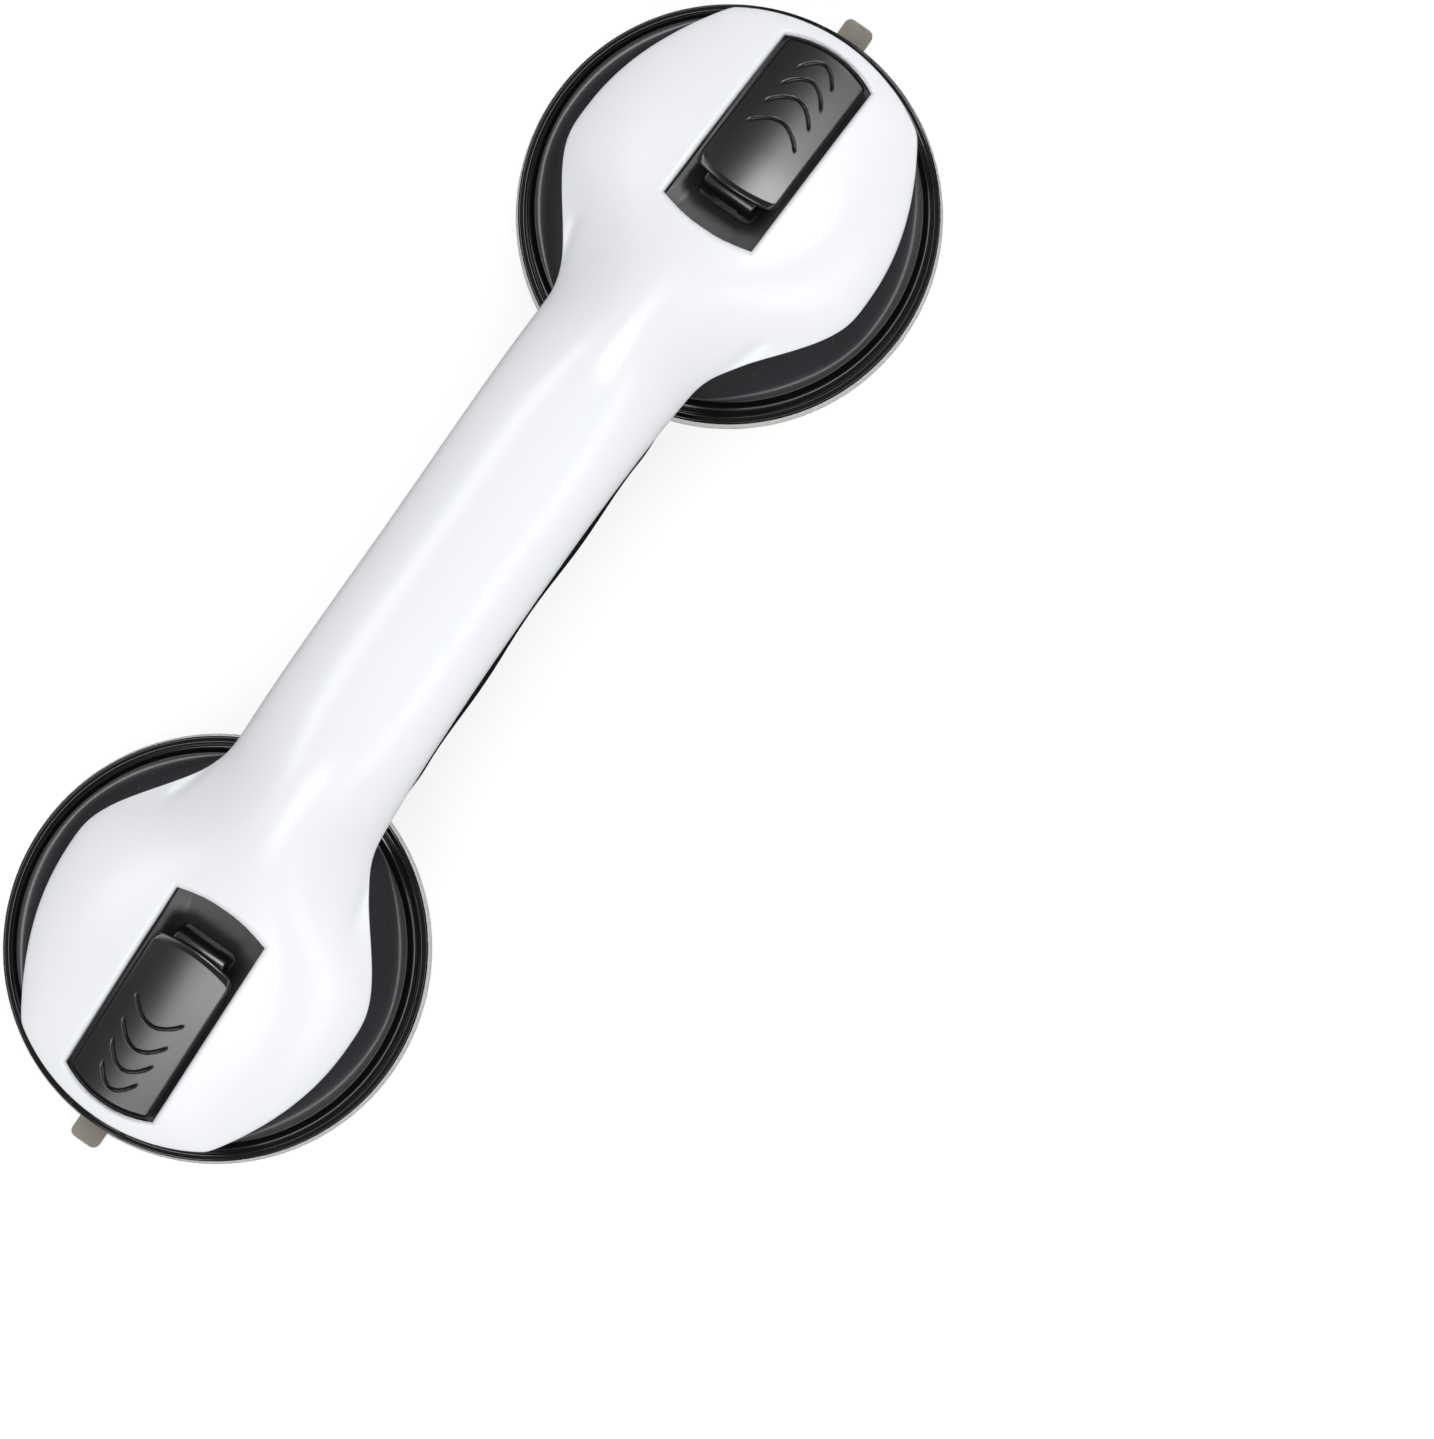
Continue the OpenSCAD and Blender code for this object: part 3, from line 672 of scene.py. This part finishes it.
def build_grip():
    grip = make("handle_grip_moulding", *closed_between(grip_grid(0), grip_grid(WALL)))
    for side in (1, -1):
        boolean(grip, at_cup(dome_mesh("cutter", -DOME_FIT, CUTTER_STEPS), side))
    below = GRIP_BOTTOM - 5
    for x in GRIP_SCREW_X:
        boolean(grip, prism("head", circle(x, 0, HEAD_R + 0.3, 48), below, GRIP_BOTTOM + COUNTERBORE))
        boolean(grip, prism("bore", circle(x, 0, SCREW_BORE, 48), below, GRIP_BOTTOM + 12))
    finish_mesh(grip, 40)
    dress(grip, GRIP)
    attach(grip, "bar")
    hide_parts("handle_grip")


# ---------------------------------------------------------------- base housing

DOME_STEPS, CUTTER_STEPS = 180, 96
# the roof ends this far inside the cap's nose and its side, and at least this far from the centre
ROOF_SETBACK, ROOF_SIDE, ROOF_LEAST = 1.9, 1.2, 30.0
# how hollow the dome's side is, from nearly flat at the shoulder to steep under the cap
DOME_SWEEP = 2.2
DOME_WALL = 2.2
# stops on the flange, either side of the pull tab: angle, radii, half-width and heights over the flange
STOP_ANGLES, STOP_IN, STOP_OUT, STOP_HALF, STOP_LOW, STOP_HIGH = (-8.5, 8.5), 46.9, 48.5, 0.8, 0.6, 3.4
# room for the stem's guide in the deck, as half-sizes along and across the bar
GUIDE_X, GUIDE_Y = 2.55, 3.55
# walls of the recess tray beside the recess and round the well below its slot
TRAY_WALL, WELL_WALL = 1.6, 3


def roof_radius(angles, inset):
    """Radius of the dome's roof: under the cap's edge outwards, a circle under the neck."""
    nose = CAP_R - ROOF_SETBACK
    lo, hi = np.full(angles.shape, ROOF_LEAST), np.full(angles.shape, nose)
    free = np.abs(hi * np.sin(angles)) <= half_width(CUP_X + hi * np.cos(angles), ROOF_SIDE)
    for _ in range(30):
        mid = (lo + hi) / 2
        ok = np.abs(mid * np.sin(angles)) <= half_width(CUP_X + mid * np.cos(angles), ROOF_SIDE)
        lo, hi = np.where(ok, mid, lo), np.where(ok, hi, mid)
    r = np.where(free, nose, lo)
    k = np.array([1, 4, 6, 4, 1]) / 16.0
    wrapped = np.concatenate([r[-2:], r, r[:2]])
    return np.convolve(wrapped, k, mode="valid") - inset


def dome_rings(inset, steps):
    """Rings of the dome from below its shoulder up its hollow side and in over its roof."""
    ang = np.linspace(0, 2 * math.pi, steps, endpoint=False)
    rim = roof_radius(ang, inset)
    rx, ry = rim * np.cos(ang), rim * np.sin(ang)
    rim_z = roof_z(rx) - inset
    base_r = SHOULDER_R - inset
    base_z = SHOULDER_Z - inset
    foot = base_r - 0.3
    rings = [np.stack([foot * np.cos(ang), foot * np.sin(ang), np.full(ang.shape, base_z - 1.4)], axis=-1)]
    for t in np.linspace(0, 1, 21):
        r = base_r - 0.15 + (rim - base_r + 0.15) * t
        z = base_z + (rim_z - base_z) * t ** DOME_SWEEP
        rings.append(np.stack([r * np.cos(ang), r * np.sin(ang), z], axis=-1))
    for s in (0.985, 0.96, 0.85, 0.7, 0.5, 0.3, 0.12):
        rings.append(np.stack([rx * s, ry * s, roof_z(rx * s) - inset], axis=-1))
    return np.array(rings)


def dome_mesh(name, inset, steps):
    return make(name, *closed_tube(dome_rings(inset, steps)))


def flange_ring(tag):
    """Turned flange, steep wall and ridge, with the two stops."""
    profile = (
        [(43.4, FLANGE_Z), (FLANGE_R - 0.35, FLANGE_Z)] + arc(FLANGE_R - 0.3, FLANGE_Z + 0.3, 0.3, -90, 0, 4)
        + arc(FLANGE_R - 0.55, FLANGE_Z + 1.55, 0.55, 10, 90, 6) + [(FLANGE_R - 1.15, FLANGE_Z + 2.05)]
        + arc(FLANGE_R - 1.15, FLANGE_Z + 2.6, 0.55, 262, 200, 5)
        + [(46.62, 7.0), (46.28, 9.0)] + arc(46.05, 9.45, 0.32, -40, 78, 6) + [(45.7, 9.95)]
        + [(45.25, 11.0)] + arc(SHOULDER_R - 0.35, SHOULDER_Z - 0.62, 0.6, 25, 88, 6)
        + [(SHOULDER_R - 2.2, SHOULDER_Z - 0.05), (SHOULDER_R - 2.2, SHOULDER_Z - 1.2), (43.4, FLANGE_Z + 3)]
    )
    ring = lathe(f"base_flange_{tag}", profile)
    for angle in STOP_ANGLES:
        a = math.radians(angle)
        corners = box_outline(STOP_IN, STOP_OUT, STOP_HALF)
        outline = [(u * math.cos(a) - v * math.sin(a), u * math.sin(a) + v * math.cos(a)) for u, v in corners]
        stop = prism("stop", outline, FLANGE_Z + STOP_LOW, FLANGE_Z + STOP_HIGH)
        boolean(ring, bevel(stop, 0.35, 3, 40), "UNION")
    return ring


def hollow_dome(tag):
    """Dome, hollow, cut open where the recess tray drops through it."""
    dome = dome_mesh(f"base_dome_{tag}", 0, DOME_STEPS)
    hollow = dome_mesh("hollow", DOME_WALL, CUTTER_STEPS)
    hollow.data.transform(Matrix.Translation((0, 0, -0.3 * MM)))
    boolean(dome, hollow)
    window = box_outline(SLOT_IN - 2.5, SLOT_OUT + 2.5, RECESS_HALF)
    return boolean(dome, prism("window", window, 5, 60))


def recess_tray(tag):
    """Tray under the recess: a block up to the shell with its sloping floor, cam slot, well and deck."""
    half = RECESS_HALF + TRAY_WALL
    d = np.linspace(RECESS_IN - 2, LEVER_REACH - 0.4, 24)
    v = np.minimum(half / half_width(CUP_X + d, WALL), 1)
    rise = crest_rise(CUP_X + d, WALL) * (1 - v * v) ** (look(BELL, CUP_X + d) / 2)
    top = look(EDGE, CUP_X + d) + rise - 0.7
    block = list(zip(d, top)) + list(zip(d[::-1], roof_z(d[::-1]) - 1.1))
    tray = side_prism(f"recess_tray_{tag}", block, -half, half)
    inner, outer = SLOT_IN - WELL_WALL, SLOT_OUT + WELL_WALL
    well = [(inner, DECK_Z), (outer, DECK_Z), (outer, floor_z(outer) - 1), (inner, floor_z(inner) - 1)]
    boolean(tray, side_prism("well", well, -half + 0.05, half - 0.05), "UNION")
    room = prism("room", recess_outline(0.2), 5, 60)
    above = side_prism("above", [(-30, floor_z(-30)), (60, floor_z(60)), (60, 70), (-30, 70)], -20, 20)
    boolean(tray, boolean(room, above, "INTERSECT"))
    r, y = SLOT_CORNER, SLOT_HALF - SLOT_CORNER
    slot = (
        arc(SLOT_OUT - r, y, r, 0, 90, 6) + arc(SLOT_IN + r, y, r, 90, 180, 6)
        + arc(SLOT_IN + r, -y, r, 180, 270, 6) + arc(SLOT_OUT - r, -y, r, 270, 360, 6)
    )
    boolean(tray, prism("slot", slot, DECK_TOP, 60))
    guide = box_outline(PIN_X - GUIDE_X, PIN_X + GUIDE_X, GUIDE_Y)
    boolean(tray, prism("guide", guide, DECK_Z - 1, DECK_TOP + 5))
    return bevel(tray, 0.25, 2, 40)


def build_housing(side, tag):
    ring = finish_mesh(at_cup(flange_ring(tag), side), 50)
    dome = finish_mesh(at_cup(hollow_dome(tag), side))
    tray = finish_mesh(at_cup(recess_tray(tag), side), 40)
    dress(ring, BLACK)
    # the dome's lifted dark grey is a painted reflection, not a different plastic
    dress(dome, DOME)
    dress(tray, FLOOR_BLACK)
    for piece in (ring, dome, tray):
        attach(piece, "bar")
    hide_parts(f"base_housing_{tag}")


# ---------------------------------------------------------------- suction cup

TAB_CORNER, TAB_INNER, TAB_LOW, TAB_HIGH = 1.6, 46.5, 0.7, 2.5
MEMBRANE_STEPS = 180


def cup_rim(tag):
    """Outer rim of the cup, which stays on the wall."""
    return lathe(f"cup_rim_{tag}", (
        [(36.0, 0.02), (CUP_R - 0.5, 0.02)] + arc(CUP_R - 0.45, 0.5, 0.45, -80, 20, 5)
        + [(CUP_R - 0.25, 1.5), (FLANGE_R - 0.15, FLANGE_Z - 0.2), (FLANGE_R - 0.6, FLANGE_Z - 0.08)]
        + [(43, FLANGE_Z - 0.08), (38.5, 2.6), (36.6, 1.0)]
    ))


def cup_tab(tag):
    """Pull tab with rounded corners."""
    x, y, half = TAB_REACH - TAB_CORNER, TAB_W / 2 - TAB_CORNER, TAB_W / 2
    corners = arc(x, -y, TAB_CORNER, -90, 0, 6) + arc(x, y, TAB_CORNER, 0, 90, 6)
    outline = [(TAB_INNER, -half)] + corners + [(TAB_INNER, half)]
    return bevel(prism(f"cup_tab_{tag}", outline, TAB_LOW, TAB_HIGH), 0.35, 3, 40)


def cup_membrane(tag):
    """Middle of the cup, which follows the stem: its top from the centre out, then its underside back in."""
    top = [(0.0, 8.6), (14.6, 8.6), (15.4, 8.3), (19, 6.8), (24, 4.6), (29, 2.9), (33, 1.9), (37.2, 1.25)]
    under = [
        (37.2, 0.02), (36, 0.03), (33.5, 0.3), (31, 0.62), (27.5, 1.35),
        (24, 2.2), (20, 3.0), (16, 3.4), (12, CUP_LIFT), (0.0, CUP_LIFT),
    ]
    r, z = np.array(top + under).T[:, :, None]
    ang = np.linspace(0, 2 * math.pi, MEMBRANE_STEPS, endpoint=False)
    rings = np.stack([r * np.cos(ang), r * np.sin(ang), z + 0 * ang], axis=-1)
    rows, cols = rings.shape[:2]
    return make(f"cup_membrane_{tag}", rings.reshape(-1, 3), grid_faces(rows, cols, wrap=True))


def build_cup(side, tag):
    rim = finish_mesh(at_cup(cup_rim(tag), side), 40)
    tab = finish_mesh(at_cup(cup_tab(tag), side), 40)
    middle = finish_mesh(at_cup(cup_membrane(tag), side), 40, 2e-6)
    dress(rim, RUBBER)
    dress(tab, TAB_RUBBER)
    dress(middle, RUBBER)
    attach(tab, "bar")
    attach(rim, "bar")
    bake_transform(middle)
    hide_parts(f"suction_cup_{tag}")


# ---------------------------------------------------------------- return spring

SPRING_TURNS, SPRING_R, WIRE_R = 4.5, 8.0, 0.6
SPRING_STEPS, WIRE_SIDES = 300, 12
SPRING_GAP = 0.05


def build_spring(side, tag):
    low, high = STEM_DISC_TOP + WIRE_R + SPRING_GAP, DECK_Z - WIRE_R - SPRING_GAP
    t = np.linspace(0, 1, SPRING_STEPS + 1)
    a = 2 * math.pi * SPRING_TURNS * t
    b = np.linspace(0, 2 * math.pi, WIRE_SIDES, endpoint=False)
    z = low + (high - low) * t
    r = SPRING_R + WIRE_R * np.cos(b)[None, :]
    height = z[:, None] + WIRE_R * np.sin(b)[None, :]
    rings = np.stack([r * np.cos(a)[:, None], r * np.sin(a)[:, None], height], axis=-1)
    spring = at_cup(make(f"cup_return_spring_{tag}", *closed_tube(rings)), side)
    finish_mesh(spring, 50)
    dress(spring, STEEL_WIRE)
    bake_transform(spring)
    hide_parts(f"return_spring_{tag}")


# ---------------------------------------------------------------- lever

LEVER_CROWN = 0.8
PLATE_EDGE = 1.0
TOP_POINTS, UNDER_POINTS = 300, 40
# engraved arcs: (d at the middle, d at the ends, half-length), then groove half-width, depth and fade
ARC_MARKS = [(21.3, 17.6, 6.2), (27.9, 24.0, 5.7), (33.5, 29.6, 5.2), (38.7, 35.2, 4.4)]
ARC_HALF, ARC_DEPTH, ARC_FADE = 0.36, 0.46, 0.35
CAM_RATE = STEM_TRAVEL / math.radians(LEVER_SWING)
# the stem's neck, seen from the lever: half its width and how far below the pin it needs room
NECK_HALF_X, NECK_DEPTH = 2.6, 14


def lever_top(d):
    """Height of the lever's top on its middle line; d is x in the cup's frame."""
    return look(CREST, CUP_X + d) + LEVER_RISE


def cam_point(lift):
    """Point of the cam's involute, from the pin, that touches the wear plate at a lift in degrees."""
    h = CAM_LOCKED - CAM_RATE * math.radians(lift)
    a = math.radians(-90 - lift)
    return (h * math.cos(a) - CAM_RATE * math.sin(a), h * math.sin(a) + CAM_RATE * math.cos(a))


def corner(y, r):
    """How far a corner of radius r draws the lever's plan outline in at y."""
    return r - math.sqrt(max(r * r - max(abs(y) - LEVER_HALF + r, 0.0) ** 2, 0.0))


def lever_section(start, reach, drop, lift):
    """Closed outline of the lever's plate in (d, z); its first TOP_POINTS points are the top, drawn inwards.

    The top is lowered by drop and the underside raised by lift. The rolled inner edge and the outer end
    are rounded to fit between them.
    """
    body = LEVER_T - drop - lift
    nose = min(0.9, 0.42 * (body - 0.6))
    roll = EDGE_ROLL + 0.1
    roll_z = min(roll, 0.72 * (body - END_THINNING - 0.35))
    d = np.linspace(reach - nose, start + 1.39 * roll, TOP_POINTS)
    top = np.stack([d, lever_top(d) - drop], axis=-1)
    a = np.radians(np.linspace(72, 180, 12))
    mid_d, mid_z = top[-1, 0] - 0.39 * roll, top[-1, 1] - 0.92 * roll_z
    inner = np.stack([mid_d + roll * np.cos(a), mid_z + roll_z * np.sin(a)], axis=-1)
    u = np.linspace(start, reach - 0.5, UNDER_POINTS)
    thin = END_THINNING * np.clip(1 - (u - LEVER_IN) / 5.2, 0, 1)
    under = np.stack([u, lever_top(u) - LEVER_T + thin + lift], axis=-1)
    under[0] += (0.05, 0.35)
    end = lever_top(reach)
    tip = [[reach - 0.1, end - LEVER_T + 0.6 + lift]]
    a = np.radians(np.linspace(-50, 62, 8))
    outer = np.stack([reach - nose + nose * np.cos(a), end - drop - nose + nose * np.sin(a) + 0.05], axis=-1)
    return np.concatenate([top, inner, under, tip, outer])


def engraving(d, y):
    """How deep the arcs cut the lever's top at distances d, on the line y."""
    cut = np.zeros(len(d))
    for d_mid, d_end, y_end in ARC_MARKS:
        if abs(y) <= y_end + ARC_FADE:
            bow = (d_mid - d_end) / y_end ** 2
            away = np.abs(d - (d_mid - bow * y * y)) / math.sqrt(1 + (2 * bow * y) ** 2)
            fade = min(1.0, max(0.0, (y_end + ARC_FADE - abs(y)) / (2 * ARC_FADE)))
            cut += ARC_DEPTH * fade * np.clip(1 - (away / ARC_HALF) ** 2, 0, 1)
    return cut


def lever_plate(tag):
    """The crowned plate, one closed section for each line across it, drawn in towards its side edges."""
    bend = np.radians([12, 25, 38, 50, 62, 76, 90])
    flat = np.linspace(0, LEVER_HALF - PLATE_EDGE, 46)
    ys = np.concatenate([flat, LEVER_HALF - PLATE_EDGE + PLATE_EDGE * np.sin(bend)])
    draw_in = np.concatenate([0 * flat, PLATE_EDGE * (1 - np.cos(bend))])
    ys = np.concatenate([-ys[:0:-1], ys])
    draw_in = np.concatenate([draw_in[:0:-1], draw_in])
    loops = []
    for y, s in zip(ys, draw_in):
        reach = LEVER_REACH - NOSE_R + math.sqrt(NOSE_R ** 2 - y * y) - corner(y, 1.3)
        start = LEVER_IN + LEVER_BOW_R - math.sqrt(LEVER_BOW_R ** 2 - y * y) + corner(y, 1.8)
        x, z = lever_section(start, reach, 0.55 * s + LEVER_CROWN * (y / LEVER_HALF) ** 2, 0.2 * s).T
        z[:TOP_POINTS] -= engraving(x[:TOP_POINTS], y)
        loops.append(np.stack([x, np.full(len(x), y), z], axis=-1))
    return make(f"lever_plate_{tag}", *closed_tube(np.array(loops)))


def heel_with_cam():
    """Round heel on the pin, with the cam's lobe below it."""
    heel = bevel(side_prism("heel", circle(PIN_X, PIN_Z, HEEL_R), -CAM_HALF, CAM_HALF), 0.6, 4, 60)
    flank = [cam_point(lift) for lift in np.arange(LEVER_SWING + 5, -1, -2.5)]
    shape = [(PIN_X + px, PIN_Z + pz) for px, pz in [(HEEL_R - 0.5, 1.5), (0, 2)] + flank]
    return boolean(heel, side_prism("cam", shape, -CAM_HALF + 0.02, CAM_HALF - 0.02), "UNION")


def neck_sweep():
    """Outline in (x, z) of the room that the stem's neck takes up as the lever swings."""
    def turned(x, z, lift):
        a = math.radians(-lift)
        return (PIN_X + x * math.cos(a) - z * math.sin(a), PIN_Z + x * math.sin(a) + z * math.cos(a))

    half, low = NECK_HALF_X, -NECK_DEPTH
    outline = [(PIN_X + half, PIN_Z), (PIN_X + half, PIN_Z + low), (PIN_X - half, PIN_Z + low)]
    outline += [turned(-half, low, lift) for lift in np.linspace(LEVER_SWING / 5, LEVER_SWING, 5)]
    return outline + [turned(-half, 0, LEVER_SWING)]


def build_lever(side, tag):
    lever = lever_plate(tag)
    boolean(lever, heel_with_cam(), "UNION")
    # room between the cheeks for the stem's eye and neck, then the pin's bore
    boolean(lever, side_prism("eye", circle(PIN_X, PIN_Z, EYE_R + 0.3), -NECK_ROOM, NECK_ROOM))
    boolean(lever, side_prism("neck", neck_sweep(), -NECK_ROOM, NECK_ROOM))
    boolean(lever, side_prism("bore", circle(PIN_X, PIN_Z, PIN_R), -20, 20))
    finish_mesh(at_cup(lever, side))
    dress(lever, LEVER)
    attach(lever, f"lever_{tag}")
    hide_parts(f"lever_{tag}")


# ---------------------------------------------------------------- build

build_shell()
build_grip()
for side, tag in ((1, "right"), (-1, "left")):
    build_housing(side, tag)
    build_cup(side, tag)
    build_spring(side, tag)
    build_lever(side, tag)
    dress(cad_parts[f"cup_stem_{tag}"], STEM_BLACK)
    dress(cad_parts[f"stem_washer_{tag}"], STEEL_SHEET)
    dress(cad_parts[f"wear_plate_{tag}"], STEEL_SHEET)
    dress(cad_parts[f"hinge_pin_{tag}"], STEEL_TURNED)
    dress(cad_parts[f"housing_screws_{tag}"], STEEL_TURNED)
dress(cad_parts["grip_screws"], STEEL_TURNED)

# ---------------------------------------------------------------- floor, light, camera

FLOOR_HALF, FLOOR_Z = 40000, -0.4
FLOOR_GREY, FLOOR_GLOW = 0.38, 0.72
# brightness of the backdrop as the camera sees it, and of the room above the floor
BACKDROP, ROOM = 0.93, 0.28

# soft boxes either side of the bar and off its ends give the highlights; the fills light the plastics
# evenly: name, place, aim and size in metres, power in watts
SOFT_BOXES = (
    ("box_right", (0, -0.95, 0.86), (0, 0, 0.03), (2.4, 0.30), 10),
    ("box_left", (0, 0.70, 0.9), (0, 0, 0.03), (2.2, 0.32), 13),
    ("box_end_right", (1.1, -0.17, 1.0), (0.1, 0, 0.03), (0.5, 0.34), 10),
    ("box_end_left", (-1.12, -0.17, 1.0), (-0.1, 0, 0.03), (0.6, 0.34), 6.5),
)
FILLS = (
    ("fill_top", (0.0, 0.3, 1.8), (0, 0, 0.02), (2.2, 2.2), 15.1),
    ("fill_end_right", (1.4, -0.05, 1.0), (0.1, 0, 0.03), (0.9, 1.2), 9.3),
    ("fill_end_left", (-1.4, -0.05, 1.0), (-0.1, 0, 0.03), (0.9, 1.2), 9.3),
    ("fill_right", (0.0, -1.5, 1.1), (0, 0, 0.03), (1.6, 1.0), 9),
)

# the camera's place and its axes in the object's frame: RIGHT and UP lie in the picture, AHEAD goes into it
EYE = Vector((-37.488, -113.711, 1200.0)) * MM
RIGHT = Vector((0.57110031, -0.82077415, -0.0131999))
AHEAD = Vector((0.03599999, 0.04110727, -0.99850598))
UP = RIGHT.cross(AHEAD)
SENSOR, LENS = 36.0, 130.38


def floor_material():
    """Pale floor with a glow of its own, clear when seen from below."""
    mat = bpy.data.materials.new("floor_pale")
    mat.use_nodes = True
    nt = mat.node_tree
    nt.nodes.clear()
    out = nt.nodes.new("ShaderNodeOutputMaterial")
    geo = nt.nodes.new("ShaderNodeNewGeometry")
    diff = nt.nodes.new("ShaderNodeBsdfDiffuse")
    diff.inputs["Color"].default_value = (FLOOR_GREY, FLOOR_GREY, FLOOR_GREY, 1)
    glow = nt.nodes.new("ShaderNodeEmission")
    glow.inputs["Color"].default_value = (1, 1, 1, 1)
    glow.inputs["Strength"].default_value = FLOOR_GLOW
    both = nt.nodes.new("ShaderNodeAddShader")
    nt.links.new(diff.outputs[0], both.inputs[0])
    nt.links.new(glow.outputs[0], both.inputs[1])
    clear = nt.nodes.new("ShaderNodeBsdfTransparent")
    mix = nt.nodes.new("ShaderNodeMixShader")
    nt.links.new(geo.outputs["Backfacing"], mix.inputs[0])
    nt.links.new(both.outputs[0], mix.inputs[1])
    nt.links.new(clear.outputs[0], mix.inputs[2])
    nt.links.new(mix.outputs[0], out.inputs["Surface"])
    return mat


def area_light(name, place, aim, size, power):
    data = bpy.data.lights.new(name, "AREA")
    data.shape = "RECTANGLE"
    data.size, data.size_y = size
    data.energy = power
    obj = bpy.data.objects.new(name, data)
    bpy.context.scene.collection.objects.link(obj)
    obj.location = place
    obj.rotation_mode = "QUATERNION"
    obj.rotation_quaternion = (Vector(aim) - Vector(place)).to_track_quat("-Z", "Y")
    return obj


def studio_world():
    """Pale backdrop for the camera; for everything else a dim room above the floor and nothing below it."""
    world = bpy.data.worlds.new("studio")
    world.use_nodes = True
    nt = world.node_tree
    bg = nt.nodes["Background"]
    tc = nt.nodes.new("ShaderNodeTexCoord")
    xyz = nt.nodes.new("ShaderNodeSeparateXYZ")
    nt.links.new(tc.outputs["Generated"], xyz.inputs[0])
    path = nt.nodes.new("ShaderNodeLightPath")
    mix = nt.nodes.new("ShaderNodeMix")
    nt.links.new(path.outputs["Is Camera Ray"], mix.inputs[0])
    nt.links.new(ramp(nt, xyz.outputs["Z"], -0.02, 0.4, 0.0, ROOM), mix.inputs[2])
    mix.inputs[3].default_value = BACKDROP
    nt.links.new(mix.outputs[0], bg.inputs["Strength"])
    bg.inputs["Color"].default_value = (0.96, 0.98, 1.0, 1)
    bpy.context.scene.world = world


corners = [(x, y, FLOOR_Z) for x, y in box_outline(-FLOOR_HALF, FLOOR_HALF, FLOOR_HALF)]
floor = make("floor", corners, [(0, 1, 2, 3)])
floor.data.materials.append(floor_material())
floor.visible_glossy = False

for light in SOFT_BOXES:
    area_light(*light).visible_diffuse = False
for light in FILLS:
    area_light(*light).visible_glossy = False
bpy.data.lights["fill_right"].use_shadow = False

studio_world()
bpy.context.scene.view_settings.view_transform = "Standard"

cam_data = bpy.data.cameras.new("camera")
cam_data.sensor_width = SENSOR
cam_data.lens = LENS
cam_data.clip_start, cam_data.clip_end = 0.05, 50
camera = bpy.data.objects.new("camera", cam_data)
bpy.context.scene.collection.objects.link(camera)
axes = Matrix((RIGHT, UP, -AHEAD)).transposed()
camera.matrix_world = Matrix.Translation(EYE) @ axes.to_4x4()
bpy.context.scene.camera = camera
